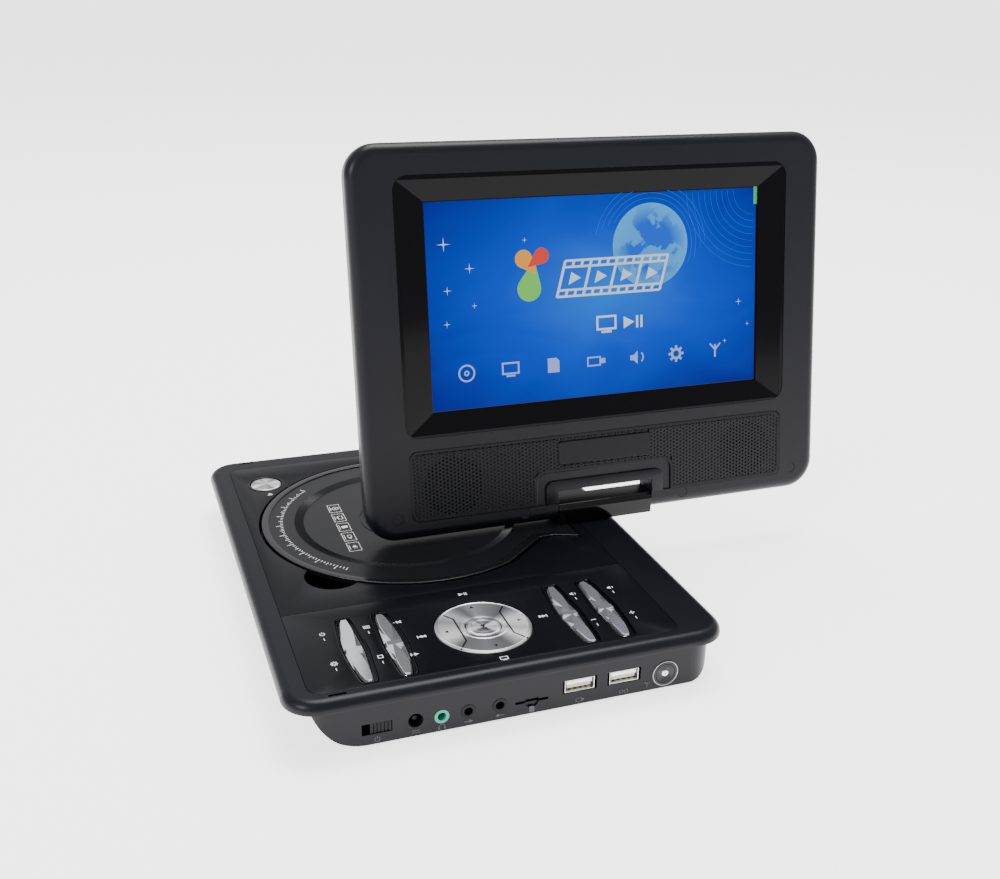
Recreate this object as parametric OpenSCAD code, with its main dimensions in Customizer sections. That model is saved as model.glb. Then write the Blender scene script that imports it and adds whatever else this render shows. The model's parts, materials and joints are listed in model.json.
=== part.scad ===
// Portable disc player: a flat base with a pop-up disc lid, keys and ports,
// and a display that swivels and tilts on a hinge block at the rear edge.
// The user sits at -Y, the port side is +X and +Z is up. Sizes are in millimetres.

/* [Base] */
// Width of the base, left to right
base_w = 242; // [230:0.1:291]
// Depth of the base, front to rear
base_d = 186; // [180:1:225]
// Height of the deck above the table
deck_z = 25.4; // [24.5:0.1:31]
// Thickness of the flange round the deck
flange_t = 4.9; // [4.2:0.1:5.9]
// Corner radius of the flange in plan
flange_r = 14; // [10:1:17]
// Rounding of the flange's upper edge
rim_round = 4.2; // [2:0.1:4.2]
// Wall of the lower case
wall = 2; // [1.6:0.1:2.4]
// Height of the rubber feet
foot_h = 1.5; // [1:0.1:2]
// Radius of each rubber foot
foot_r = 6; // [4:0.5:8]
// How far the lower case stands back from the flange, at the sides
side_inset = 2.9; // [2:0.1:3.5]
// How far the lower case stands back at the front
front_inset = 9; // [7:0.5:11]
// How far the lower case stands back at the rear
rear_inset = 5; // [4:0.5:6]

/* [Deck] */
// Thickness of the two deck panels
panel_t = 2.4; // [2:0.1:2.8]
// Left margin of the panels from the flange's edge
panel_left = 12.7; // [11:0.1:14]
// Right margin of the panels
panel_right = 6.7; // [6:0.1:8]
// Front margin of the panels
panel_front = 9.8; // [9:0.1:11]
// Rear margin of the panels
panel_rear = 20.2; // [18:0.1:21]
// Width of the control panel
control_w = 61.4; // [58:0.1:66]
// Gap between a panel and what surrounds it
panel_gap = 0.2; // [0.1:0.05:0.4]

/* [Disc] */
// Outer radius of the disc lid
lid_r = 70.3; // [58.5:0.1:71]
// Gap round the disc lid
lid_gap = 1.4; // [0.8:0.1:1.6]
// Width of the bright rim of the disc lid
lid_rim_w = 3.2; // [2:0.1:5]
// Outer radius of the sloping ribbed ring
dial_r = 54.8; // [45:0.1:58]
// Radius of the turntable
turntable_r = 15; // [12:0.5:16]
// Radius of the hub that holds the disc
hub_r = 7.4; // [7.2:0.1:7.45]
// Radius of the spindle shaft
spindle_r = 1; // [0.8:0.1:1.3]
// Travel of the pickup along its rods
pickup_travel = 35; // [30:1:36]

/* [Keys] */
// Length of a rocker key
rocker_l = 45; // [38:1:46]
// Width of a rocker key at its middle
rocker_w = 7.8; // [6.5:0.1:8.4]
// Radius of the navigation plate
nav_r = 20.5; // [17:0.1:21]
// Radius of the centre key
centre_key_r = 7.4; // [6:0.1:8.8]
// Radius of the open button
open_button_r = 7.9; // [6.5:0.1:8]
// How far the keys stand above the deck
key_proud = 0.3; // [0.1:0.05:0.35]

/* [Ports] */
// Radius of the bore of the round signal jacks
jack_bore_r = 1.8; // [1.75:0.01:1.85]
// Radius of the nose of the round signal jacks
jack_nose_r = 3; // [2.6:0.1:3.6]
// Height of the round jacks' axis above the table
jack_z = 8.2; // [8:0.1:8.8]
// Radius of the collar of the aerial socket
aerial_r = 5.8; // [5:0.1:5.8]
// Outer width of a serial socket's metal shell
usb_w = 13.1; // [13:0.1:13.3]
// Outer height of a serial socket's metal shell
usb_h = 5.7; // [5.6:0.1:5.8]

/* [Hinge] */
// Height of the tilt axis above the deck
axis_rise = 7.6; // [7.6:0.1:9.5]
// Distance of the swivel axis from the flange's rear edge
axis_inset = 6.5; // [6.5:0.1:8]
// Length of the hinge block
block_l = 49.7; // [41:0.1:56]
// Depth of the hinge block
block_d = 15.4; // [13:0.1:15.4]
// Radius of the swivel shaft
swivel_r = 3; // [2.5:0.1:3.2]
// Radius of the tilt pins
tilt_pin_r = 2; // [1.6:0.1:2.2]
// Running clearance of the pins and shafts
running_gap = 0.05; // [0.03:0.01:0.1]

/* [Display] */
// Width of the display
display_w = 241; // [230:1:275]
// Height of the display
display_h = 182; // [176:0.1:219]
// Thickness of the display
display_t = 13.6; // [13:0.1:13.6]
// Corner radius of the display
display_r = 15; // [10:1:20]
// Rounding of the display's edges
display_round = 5; // [4:0.1:6]
// Wall of the display covers
cover_wall = 2; // [1.6:0.1:2.2]
// How far the display leans back from upright at rest
lean = 9.25; // [0:0.25:20]
// Width of the visible screen
screen_w = 170.8; // [150:0.1:175]
// Height of the visible screen
screen_h = 95.8; // [85:0.1:98]

/* [Hidden] */
$fn = 64;
tiny = 0.01;                     // overlap between solids of one piece
over = 1;                        // how far a cutter runs past a face

// heights and edges of the base
flange_z = deck_z - flange_t;    // underside of the flange
floor_z = foot_h + wall;         // inside of the case's floor
case_x = base_w / 2 - side_inset;
case_front = -base_d / 2 + front_inset;
case_rear = base_d / 2 - rear_inset;
front_round = 22;                // the front wall curves under the base
rear_round = 12;
case_r = flange_r - side_inset + 1;
port_x = case_x;                 // face of the port side
inner_x = case_x - wall;         // its inner face

// the two panels set into the deck
panel_x0 = -base_w / 2 + panel_left;
panel_x1 = base_w / 2 - panel_right;
panel_y0 = -base_d / 2 + panel_front;
panel_y1 = base_d / 2 - panel_rear;
panel_z = deck_z - panel_t;
divider_x = panel_x1 - control_w;
panel_r = 6;
ledge = 2;                       // width of the shelf that the panels lie on
rib_w = 6;                       // bar of the top case below the divider

// disc bay
disc_x = -26.3;
disc_y = -7.2;
lid_top = deck_z - 0.1;
lid_bottom = deck_z - 2;
rim_top = deck_z + 0.4;
bay_r = lid_r + lid_gap;
bay_wall = 1.2;
bay_floor_z = deck_z - 8.6;
bay_under_z = bay_floor_z - 1.4;
tongue_w = 42.9;                 // half width of the lid's rear tongue
tongue_flare = 47.1;             // half width at its rear end
tongue_y = lid_r + 3;            // rear end, from the disc's centre
pivot_y = disc_y + tongue_y - 1.8;
pivot_z = deck_z - 3.4;
pivot_r = 1.2;
pivot_arm = tongue_w - lid_rim_w - 2.2;
pivot_l = tongue_flare + 4 - pivot_arm;
notch_x = disc_x + 50.5;         // finger notch beside the lid
notch_y = disc_y - 47.3;
notch_r = 13;

// keys
key_top = deck_z + key_proud;
nav_x = panel_x1 - control_w / 2 + 2.7;
nav_y = -4.9;
nav_axis_z = deck_z - 3.5;       // height of the plate's two rocking axes
rocker_x = nav_x + 1;
rocker_y = [-54, -39, 39, 54];   // offsets of the rocker keys from the plate's centre
rocker_side = [-1, 1, -1, 1];    // which way each one bulges
button_x = panel_x0 + 23.5;
button_y = panel_y0 + 16.2;
key_gap = 0.4;
guide_z = panel_z - 2.2;         // lower end of the tube that guides the open button
latch_z = bay_floor_z + 1.6;
stem_r = 3;

// boards
board_t = 1.6;
board_z = floor_z + 1;
board_x1 = inner_x - 13.7;
board_x0 = divider_x - 2.8;
key_board_z = panel_z - 5.4;
switch_top = panel_z - 1.8;

// drive mechanism
rod_r = 1.5;
rod_x = 17;                      // rods beside the pickup, from the disc's centre
rod_z = bay_under_z - 4;
chassis_z0 = bay_under_z - 5;
chassis_z1 = bay_under_z - 3;
window_y0 = disc_y + 13.2;
window_y1 = window_y0 + pickup_travel + 21;
pickup_y = window_y0 + 10;
pickup_half = 8;
tooth_pitch = 3.1416;            // of the rack and the sled gear
gear_r = 5;                      // pitch radius: ten teeth
gear_teeth = 10;
rack_x = disc_x - 26;            // pitch line of the rack
gear_x = rack_x - gear_r;
gear_y = pickup_y + pickup_travel / 2;
gear_z = chassis_z1 + 0.2;
gear_t = 2;

// hinge
hinge_y = base_d / 2 - axis_inset;
hinge_z = deck_z + axis_rise;
block_gap = 0.5;                 // between the block and the deck
block_z0 = deck_z + block_gap;
block_top = hinge_z + 3;
bush_r = swivel_r + 1;
boss_r = bush_r + 0.9;
boss_z = flange_z - 8.5;

// display, in its own coordinates: x across, y up the screen from the tilt axis, z to the viewer
display_y0 = -6;
display_y1 = display_y0 + display_h;
face_z = display_t / 2;
inside_z = face_z - cover_wall;
cavity_y0 = 6;
bezel_w = screen_w + 29.6;
bezel_h = screen_h + 23.4;
screen_y = display_y1 - 74.3;    // centre of the screen
bezel_y = screen_y + 0.5;
bezel_r = 7;
glass_z = face_z - 3.5;
grille_w = bezel_w - 2;
grille_y0 = 2.5;
grille_h = 34.3;
grille_t = 1;
notch_gap = 0.45;
notch_top = 9;
surround_w = 6.2;                // width of the U-shaped trim round the notch
surround_h = 5;
surround_proud = 0.4;
speaker_x = 78;
speaker_y = 18.5;
speaker_r = 12;
plug_places = [[42.7, -0.3], [106, 5.2]];
plug_r = 2.6;
pin_in = 9;                      // length of a tilt pin inside the block
pin_out = 8;                     // and inside the display

// the origin is below the middle of the whole player, so the base stands forward of it
rest_shift = (hinge_y + display_w / 2 - base_d / 2) / 2;

screw_places = [
    [-case_x + 6.1, -50], [divider_x, -64], [-90, case_rear - 9], [90, case_rear - 9],
];
screw_r = 1.2;

module placed() {
    translate([0, -rest_shift, 0])
        children();
}

// puts a piece drawn in the display's coordinates on the hinge
module on_display() {
    placed()
        translate([0, hinge_y, hinge_z])
            rotate([0, -lean, 0])
                rotate([90, 0, 90])
                    children();
}

// rounded rectangle between two corners
module plate2d(x0, x1, y0, y1, r) {
    translate([x0 + r, y0])
        square([x1 - x0 - 2 * r, y1 - y0]);
    translate([x0, y0 + r])
        square([x1 - x0, y1 - y0 - 2 * r]);
    for (x = [x0 + r, x1 - r], y = [y0 + r, y1 - r])
        translate([x, y])
            circle(r);
}

module plate(x0, x1, y0, y1, z0, z1, r) {
    translate([0, 0, z0])
        linear_extrude(z1 - z0)
            plate2d(x0, x1, y0, y1, r);
}

module box(x0, x1, y0, y1, z0, z1) {
    translate([x0, y0, z0])
        cube([x1 - x0, y1 - y0, z1 - z0]);
}

module post(x, y, z0, z1, r) {
    translate([x, y, z0])
        cylinder(h = z1 - z0, r = r);
}

// cylinder along X
module bar_x(x0, x1, y, z, r) {
    translate([x0, y, z])
        rotate([0, 90, 0])
            cylinder(h = x1 - x0, r = r);
}

// edge of a slab: a strip of the given reach, rounded above by r1 and below by r0
module edge2d(reach, z0, z1, r0, r1) {
    difference() {
        translate([0, z0])
            square([reach, z1 - z0]);
        translate([reach - r1, z1 - r1])
            square([r1 + over, r1 + over]);
        translate([reach - r0, z0 - over])
            square([r0 + over, r0 + over]);
    }
    intersection() {
        translate([0, z0])
            square([reach, z1 - z0]);
        union() {
            translate([reach - r1, z1 - r1])
                circle(r1);
            translate([reach - r0, z0 + r0])
                circle(r0);
        }
    }
}

// slab with rounded corners in plan and rounded edges above and below
module soft_slab(x0, x1, y0, y1, z0, z1, r, r0, r1) {
    for (x = [x0 + r, x1 - r], y = [y0 + r, y1 - r])
        translate([x, y, 0])
            rotate_extrude()
                intersection() {
                    edge2d(r, z0, z1, r0, r1);
                    translate([0, z0 - over])
                        square([r + over, z1 - z0 + 2 * over]);
                }
    translate([0, y1 - r, 0])
        rotate([90, 0, 0])
            linear_extrude(y1 - y0 - 2 * r) {
                translate([x1 - r, 0])
                    edge2d(r, z0, z1, r0, r1);
                translate([x0 + r, 0])
                    mirror([1, 0])
                        edge2d(r, z0, z1, r0, r1);
            }
    translate([x0 + r, 0, 0])
        rotate([90, 0, 90])
            linear_extrude(x1 - x0 - 2 * r) {
                translate([y1 - r, 0])
                    edge2d(r, z0, z1, r0, r1);
                translate([y0 + r, 0])
                    mirror([1, 0])
                        edge2d(r, z0, z1, r0, r1);
            }
    box(x0 + r, x1 - r, y0 + r, y1 - r, z0, z1);
}

// ---- base ----

// outer or inner form of the lower case, taken in by o
module tub(o, top) {
    intersection() {
        plate(-case_x + o, case_x - o, case_front + o, case_rear - o,
              foot_h + o, top, case_r - o);
        translate([-case_x, 0, 0])
            rotate([90, 0, 90])
                linear_extrude(2 * case_x)
                    tub_side(o, top);
    }
}

module tub_side(o, top) {
    translate([case_front + front_round, foot_h + o])
        square([case_rear - case_front - front_round - rear_round, top - foot_h - o]);
    translate([case_front + front_round, foot_h + front_round])
        circle(front_round - o, $fn = 128);
    translate([case_rear - rear_round, foot_h + rear_round])
        circle(rear_round - o);
    translate([case_front + front_round, foot_h + rear_round])
        square([case_rear - case_front - front_round - o, top - foot_h - rear_round]);
}

module bottom_case() {
    color("#17181a")
        placed()
            difference() {
                union() {
                    difference() {
                        tub(0, flange_z);
                        tub(wall, flange_z + over);
                    }
                    intersection() {
                        tub(0.5, flange_z);
                        for (p = screw_places)
                            post(p.x, p.y, foot_h + 0.5, flange_z, 3.5);
                    }
                    post(0, hinge_y, boss_z - 3, flange_z, boss_r + 1.6);
                    for (x = [board_x0 + 6, board_x1 - 6], y = [-50, 60])
                        post(x, y, floor_z - tiny, board_z, 2.5);
                }
                for (p = screw_places) {
                    post(p.x, p.y, -over, floor_z + 1, 2.7);
                    post(p.x, p.y, 0, flange_z + over, screw_r);
                }
                post(0, hinge_y, boss_z - 1.8, flange_z + over, boss_r + 0.15);
                port_cuts();
            }
}

jacks = [["dc", -43.1, 8.6], ["headphone", -32.6, jack_z], ["av_out", -21.7, jack_z],
         ["av_in", -8.6, jack_z]];
switch_y0 = -64.4;
switch_y1 = -52.4;
switch_z0 = 6.1;
switch_z1 = 11;
card_y0 = -2.1;
card_y1 = 12;
card_z = 7.4;
usb_y = [25.7, 45.4];
usb_z = 10.7;
aerial_y = 64.2;
aerial_z = 8.4;

module port_cuts() {
    for (j = jacks)
        bar_x(inner_x - over, port_x + over, j[1], j[2], jack_nose_r + 0.1);
    box(inner_x - over, port_x + over, switch_y0, switch_y1, switch_z0, switch_z1);
    box(inner_x - over, port_x + over, card_y0, card_y1, card_z - 0.6, card_z + 0.6);
    bar_x(port_x - 0.7, port_x + over, (card_y0 + card_y1) / 2, card_z, 3);
    for (y = usb_y)
        box(inner_x - over, port_x + over, y - usb_w / 2 - 0.9, y + usb_w / 2 + 0.9,
            usb_z - usb_h / 2 - 0.2, usb_z + usb_h / 2 + 0.2);
    bar_x(inner_x - over, port_x + over, aerial_y, aerial_z, aerial_r + 0.1);
}

module top_case() {
    color("#1b1c1f")
        placed()
            difference() {
                union() {
                    soft_slab(-base_w / 2, base_w / 2, -base_d / 2, base_d / 2,
                              flange_z, deck_z, flange_r, 0.6, rim_round);
                    post(0, hinge_y, boss_z, flange_z + tiny, boss_r);
                }
                plate(panel_x0, panel_x1, panel_y0, panel_y1, panel_z, deck_z + over, panel_r);
                difference() {
                    plate(panel_x0 + ledge, panel_x1 - ledge, panel_y0 + ledge,
                          panel_y1 - ledge, flange_z - over, panel_z + tiny, panel_r - ledge);
                    box(divider_x - rib_w / 2, divider_x + rib_w / 2, panel_y0, panel_y1,
                        flange_z - 2 * over, panel_z);
                }
                for (p = screw_places)
                    post(p.x, p.y, flange_z - over, flange_z + 2, screw_r);
                post(0, hinge_y, boss_z - over, deck_z + over, bush_r);
                for (s = [-1, 1])
                    box(s * (base_w / 2 - 5) - 0.6, s * (base_w / 2 - 5) + 0.6,
                        panel_y0 + 7, panel_y0 + 14, deck_z - 2, deck_z + over);
            }
}

// plan of the disc lid, grown by m
module lid_plan(m) {
    difference() {
        circle(lid_r + m, $fn = 180);
        for (s = [-1, 1])
            scale_x(s)
                polygon([[lid_r * 0.887 + m, lid_r * 0.462 + m], [lid_r * 1.2, lid_r * 0.5],
                         [lid_r * 0.9, lid_r], [tongue_w + m, lid_r * 0.78 + m]]);
    }
    polygon([[-tongue_flare - m, tongue_y + m], [-tongue_w - m, tongue_y - 11],
             [-tongue_w - m, 30], [tongue_w + m, 30],
             [tongue_w + m, tongue_y - 11], [tongue_flare + m, tongue_y + m]]);
}

// mirrors its children in plan when s is negative
module scale_x(s) {
    if (s < 0)
        mirror([1, 0])
            children();
    else
        children();
}

module at_disc() {
    translate([disc_x, disc_y, 0])
        children();
}

// direction from the disc's centre to the open button
button_angle = atan2(button_y - disc_y, button_x - disc_x);
button_reach = sqrt(pow(button_x - disc_x, 2) + pow(button_y - disc_y, 2));

module disc_deck() {
    color("#1a1b1d")
        placed()
            difference() {
                union() {
                    difference() {
                        plate(panel_x0 + panel_gap, divider_x + panel_r, panel_y0 + panel_gap,
                              panel_y1 - panel_gap, panel_z, deck_z, panel_r - panel_gap);
                        box(divider_x - panel_gap / 2, divider_x + 2 * panel_r, panel_y0,
                            panel_y1, panel_z - over, deck_z + over);
                    }
                    at_disc()
                        post(0, 0, bay_under_z, panel_z + tiny, bay_r + bay_wall);
                    post(notch_x, notch_y, bay_under_z, panel_z + tiny, notch_r + bay_wall);
                    post(button_x, button_y, guide_z, panel_z + tiny, open_button_r + 1.3);
                    for (s = [-1, 1])
                        box(disc_x + s * (tongue_flare + 3.5) - 2, disc_x + s * (tongue_flare + 3.5) + 2,
                            pivot_y - 3, pivot_y + 3, pivot_z - 2.6, panel_z + tiny);
                }
                at_disc()
                    post(0, 0, bay_floor_z, panel_z + 2 * tiny, bay_r);
                at_disc()
                    translate([0, 0, panel_z])
                        linear_extrude(panel_t + over)
                            lid_plan(lid_gap);
                at_disc()
                    translate([0, 0, pivot_z - 1.6])
                        linear_extrude(panel_t)
                            intersection() {
                                lid_plan(lid_gap);
                                translate([-80, 50])
                                    square([160, 40]);
                            }
                post(notch_x, notch_y, bay_floor_z, deck_z + over, notch_r);
                post(button_x, button_y, guide_z - over, deck_z + over, open_button_r + 0.3);
                at_disc() {
                    post(0, 0, bay_under_z - over, bay_floor_z + over, turntable_r + 2);
                    box(-14, 14, 0, window_y1 - disc_y - 2, bay_under_z - over,
                        bay_floor_z + over);
                    rotate([0, 0, button_angle])
                        box(bay_r - over, bay_r + bay_wall + over, -4.5, 4.5,
                            bay_floor_z + 1.2, panel_z - 0.4);
                }
                bar_x(disc_x - tongue_flare - 5, disc_x + tongue_flare + 5, pivot_y, pivot_z,
                      pivot_r + running_gap);
            }
}

// plan of a rocker key that bulges towards side, grown by m
module rocker_plan(side, m) {
    half = rocker_l / 2 + m;
    end_in = rocker_w * 0.2 + m;
    end_out = rocker_w * 0.3 + m;
    mid_in = rocker_w * 0.41 + m;
    mid_out = rocker_w * 0.59 + m;
    polygon([
        [-half, -side * end_in], [-half * 0.35, -side * (mid_in - 0.35)], [0, -side * mid_in],
        [half * 0.35, -side * (mid_in - 0.35)], [half, -side * end_in], [half + 1, 0],
        [half, side * end_out], [half * 0.5, side * (mid_out - 0.9)], [0, side * mid_out],
        [-half * 0.5, side * (mid_out - 0.9)], [-half, side * end_out], [-half - 1, 0],
    ]);
}

module at_rocker(i) {
    translate([rocker_x, nav_y + rocker_y[i], 0])
        children();
}

module control_panel() {
    color("#17181a")
        placed()
            difference() {
                union() {
                    difference() {
                        plate(divider_x - panel_r, panel_x1 - panel_gap, panel_y0 + panel_gap,
                              panel_y1 - panel_gap, panel_z, deck_z, panel_r - panel_gap);
                        box(divider_x - 2 * panel_r, divider_x + panel_gap / 2, panel_y0,
                            panel_y1, panel_z - over, deck_z + over);
                    }
                    for (x = [divider_x + 9, panel_x1 - 6], y = [panel_y0 + 9, panel_y1 - 7])
                        post(x, y, key_board_z + board_t, panel_z + tiny, 2.2);
                }
                for (i = [0:3])
                    at_rocker(i) {
                        translate([0, 0, panel_z - over])
                            linear_extrude(panel_t + 2 * over)
                                rocker_plan(rocker_side[i], key_gap);
                        translate([0, 0, deck_z - 1.2])
                            linear_extrude(1.2 + over)
                                rocker_plan(rocker_side[i], key_gap + 1);
                    }
                post(nav_x, nav_y, panel_z - over, deck_z + over, nav_r + key_gap);
            }
}

module rubber_feet() {
    color("#101010")
        placed()
            for (x = [-98, 98], y = [case_front + front_round + 10, case_rear - rear_round - 10])
                post(x, y, 0, foot_h, foot_r);
}

module case_screws() {
    color("#8b8d90")
        placed()
            for (p = screw_places)
                difference() {
                    union() {
                        post(p.x, p.y, floor_z + 1, flange_z + 1.8, screw_r);
                        post(p.x, p.y, floor_z - 0.4, floor_z + 1, 2.5);
                    }
                    box(p.x - 1.6, p.x + 1.6, p.y - 0.3, p.y + 0.3, floor_z - over,
                        floor_z + 0.4);
                    box(p.x - 0.3, p.x + 0.3, p.y - 1.6, p.y + 1.6, floor_z - over,
                        floor_z + 0.4);
                }
}

module battery_pack() {
    color("#3d5c8c")
        placed()
            for (y = [-58, -43.5])
                plate(disc_x - 42, disc_x + 42, y, y + 14, floor_z, floor_z + 7.5, 3);
}

module main_board() {
    color("#1f5a37")
        placed() {
            box(board_x0, board_x1, -60, case_rear - rear_round - 7, board_z, board_z + board_t);
            box(board_x0 + 14, board_x0 + 30, -20, -4, board_z + board_t, board_z + board_t + 1.4);
            box(board_x0 + 16, board_x0 + 26, 8, 22, board_z + board_t, board_z + board_t + 1);
            for (y = [-40, 40])
                post(board_x0 + 12, y, board_z + board_t - tiny, board_z + board_t + 7, 4);
        }
}

module key_board() {
    color("#2c6b45")
        placed()
            difference() {
                union() {
                    box(divider_x + 5, panel_x1 - 2, panel_y0 + 5.5, panel_y1 - 3, key_board_z,
                        key_board_z + board_t);
                    for (i = [0:3], s = [-1, 1])
                        at_rocker(i) {
                            box(s * 17 - 2.3, s * 17 + 2.3, -2.3, 2.3, key_board_z + board_t - tiny,
                                switch_top - 0.7);
                            post(s * 17, 0, switch_top - 0.8, switch_top, 1.2);
                        }
                    for (a = [45:90:315])
                        translate([nav_x, nav_y, 0])
                            rotate([0, 0, a])
                                post(16, 0, key_board_z + board_t - tiny, switch_top, 1.6);
                    post(nav_x, nav_y, key_board_z + board_t - tiny, switch_top - 0.3, 2.5);
                }
                post(divider_x + 20, panel_y1 - 8, key_board_z - over, switch_top, 1.5);
            }
}

// ---- ports ----

module jack(y, z, bore, reach, housing) {
    difference() {
        union() {
            box(board_x1, inner_x, y - housing, y + housing, z - 4, z + 4);
            bar_x(inner_x - tiny, port_x + reach, y, z, jack_nose_r);
        }
        bar_x(board_x1 + 1.5, port_x + reach + over, y, z, bore);
    }
}

module dc_jack() {
    color("#0e0e0f")
        placed() {
            jack(jacks[0][1], jacks[0][2], 2.8, -0.6, 4.8);
            bar_x(board_x1 + 1, port_x - 2, jacks[0][1], jacks[0][2], 0.9);
        }
}

module headphone_jack() {
    color("#1f8a68")
        placed()
            jack(jacks[1][1], jacks[1][2], jack_bore_r, 0.2, 4.8);
}

module av_out_jack() {
    color("#131314")
        placed()
            jack(jacks[2][1], jacks[2][2], jack_bore_r, 0.2, 4.8);
}

module av_in_jack() {
    color("#131314")
        placed()
            jack(jacks[3][1], jacks[3][2], jack_bore_r, 0.2, 4.8);
}

module card_socket() {
    color("#b9bbbe")
        placed()
            difference() {
                box(board_x1 - 2, inner_x, card_y0 - 1.3, card_y1 + 1.3, board_z + board_t,
                    card_z + 1.8);
                box(board_x1, inner_x + over, card_y0, card_y1, card_z - 0.6, card_z + 0.6);
            }
}

module serial_socket(y) {
    difference() {
        box(board_x1 + 1, port_x - 0.1, y - usb_w / 2, y + usb_w / 2, usb_z - usb_h / 2,
            usb_z + usb_h / 2);
        box(board_x1 + 4, port_x + over, y - usb_w / 2 + 0.4, y + usb_w / 2 - 0.4,
            usb_z - usb_h / 2 + 0.4, usb_z + usb_h / 2 - 0.4);
    }
    box(board_x1 + 3, port_x - 0.8, y - 5.6, y + 5.6, usb_z + 0.1, usb_z + 2);
    box(board_x1 - 5, board_x1 + 1 + tiny, y - usb_w / 2, y + usb_w / 2, board_z + board_t,
        usb_z + usb_h / 2);
}

module usb_socket() {
    color("#c9cbcd")
        placed()
            serial_socket(usb_y[0]);
}

module game_socket() {
    color("#c9cbcd")
        placed()
            serial_socket(usb_y[1]);
}

module aerial_socket() {
    color("#aeb0b3")
        placed() {
            difference() {
                union() {
                    bar_x(board_x1, inner_x + tiny, aerial_y, aerial_z, 4.7);
                    bar_x(inner_x, port_x + 0.3, aerial_y, aerial_z, aerial_r);
                }
                bar_x(board_x1 + 5, port_x + over, aerial_y, aerial_z, 4.2);
            }
            bar_x(board_x1 + 4, port_x - 0.6, aerial_y, aerial_z, 1.2);
        }
}

module power_switch_housing() {
    color("#1a1a1b")
        placed()
            difference() {
                box(inner_x - 7.5, inner_x, switch_y0 - 1.2, switch_y1 + 1.2, switch_z0 - 1,
                    switch_z1 + 1.2);
                box(inner_x - 6, inner_x + over, switch_y0, switch_y1, switch_z0, switch_z1);
            }
}

knob_l = 8.4;
knob_travel = 3;

module power_switch_knob() {
    color("#101011")
        placed()
            difference() {
                box(inner_x - 5.6, port_x - 0.3, switch_y1 - 0.3 - knob_l, switch_y1 - 0.3,
                    switch_z0 + 0.25, switch_z1 - 0.25);
                for (k = [1:5])
                    box(port_x - 0.8, port_x + over, switch_y1 - 0.3 - k * 1.4 - 0.25,
                        switch_y1 - 0.3 - k * 1.4 + 0.25, switch_z0, switch_z1);
            }
}

// ---- disc drive ----

module drive_chassis() {
    color("#8f9296")
        placed()
            difference() {
                box(gear_x - 8, disc_x + 32, disc_y - 19, window_y1 + 5, chassis_z0, chassis_z1);
                box(disc_x - 22, disc_x + 22, window_y0, window_y1, chassis_z0 - over,
                    chassis_z1 + over);
                post(disc_x, disc_y, chassis_z0 - over, chassis_z1 + over, 9);
                post(gear_x, gear_y, chassis_z0 - over, chassis_z1 + over, 1.5);
                for (s = [-1, 1])
                    rod(s, rod_r);
            }
}

module rod(s, r) {
    translate([disc_x + s * rod_x, window_y1 + 3, rod_z])
        rotate([90, 0, 0])
            cylinder(h = window_y1 - window_y0 + 6, r = r);
}

module drive_dampers() {
    color("#222222")
        placed()
            for (x = [gear_x - 2, disc_x + 26], y = [disc_y - 13, window_y1])
                post(x, y, floor_z, chassis_z0, 4);
}

module spindle_motor() {
    color("#a5a8ab")
        placed()
            difference() {
                union() {
                    post(disc_x, disc_y, floor_z + 1, chassis_z1 + tiny, 9);
                    post(disc_x, disc_y, chassis_z1, chassis_z1 + 1.2, 11.5);
                }
                post(disc_x, disc_y, floor_z + 2, chassis_z1 + 3, spindle_r + running_gap);
            }
}

module guide_rods() {
    color("#c4c7ca")
        placed()
            for (s = [-1, 1])
                rod(s, rod_r);
}

module sled_motor() {
    color("#b0b3b6")
        placed()
            difference() {
                post(gear_x, gear_y, floor_z + 0.5, chassis_z0, 5);
                post(gear_x, gear_y, floor_z + 1.5, chassis_z0 + over, 1 + running_gap);
            }
}

module sled_gear() {
    color("#e4e0d2")
        placed()
            translate([gear_x, gear_y, 0]) {
                translate([0, 0, gear_z])
                    linear_extrude(gear_t) {
                        circle(gear_r - 1.1);
                        for (k = [0:gear_teeth - 1])
                            rotate(k * 360 / gear_teeth)
                                polygon([[2, -0.7], [gear_r - 1.1, -0.62], [gear_r + 0.75, -0.3],
                                         [gear_r + 0.75, 0.3], [gear_r - 1.1, 0.62], [2, 0.7]]);
                    }
                post(0, 0, floor_z + 2, gear_z + tiny, 1);
            }
}

module pickup() {
    color("#2b2d30")
        placed() {
            difference() {
                union() {
                    box(disc_x - 13, disc_x + 13, pickup_y - pickup_half, pickup_y + pickup_half,
                        chassis_z0 - 1.5, bay_under_z - 0.6);
                    for (s = [-1, 1])
                        box(disc_x + s * rod_x - 4.2, disc_x + s * rod_x + 4.2, pickup_y - 6,
                            pickup_y + 6, rod_z - 2.6, rod_z + 2.6);
                    box(rack_x + 3, disc_x - 12, pickup_y - 4, pickup_y + 4, gear_z,
                        gear_z + gear_t);
                    translate([rack_x, 0, gear_z])
                        linear_extrude(gear_t) {
                            translate([1.1, gear_y - pickup_travel - 4])
                                square([2.4, pickup_travel + 8]);
                            for (k = [-12:1])
                                translate([0, gear_y + (k - 0.5) * tooth_pitch])
                                    polygon([[1.5, -0.7], [1.1, -0.62], [-0.75, -0.3],
                                             [-0.75, 0.3], [1.1, 0.62], [1.5, 0.7]]);
                        }
                }
                for (s = [-1, 1])
                    rod(s, rod_r + running_gap);
            }
            post(disc_x, pickup_y, bay_under_z - 0.7, bay_under_z + 0.6, 3.6);
        }
}

module turntable() {
    color("#26272a")
        placed() {
            post(disc_x, disc_y, floor_z + 2.5, bay_floor_z + 1, spindle_r);
            post(disc_x, disc_y, bay_floor_z + 0.9, bay_floor_z + 2.4, turntable_r);
            post(disc_x, disc_y, bay_floor_z + 2.3, bay_floor_z + 4.2, hub_r);
        }
}

// ---- disc lid ----

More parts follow.
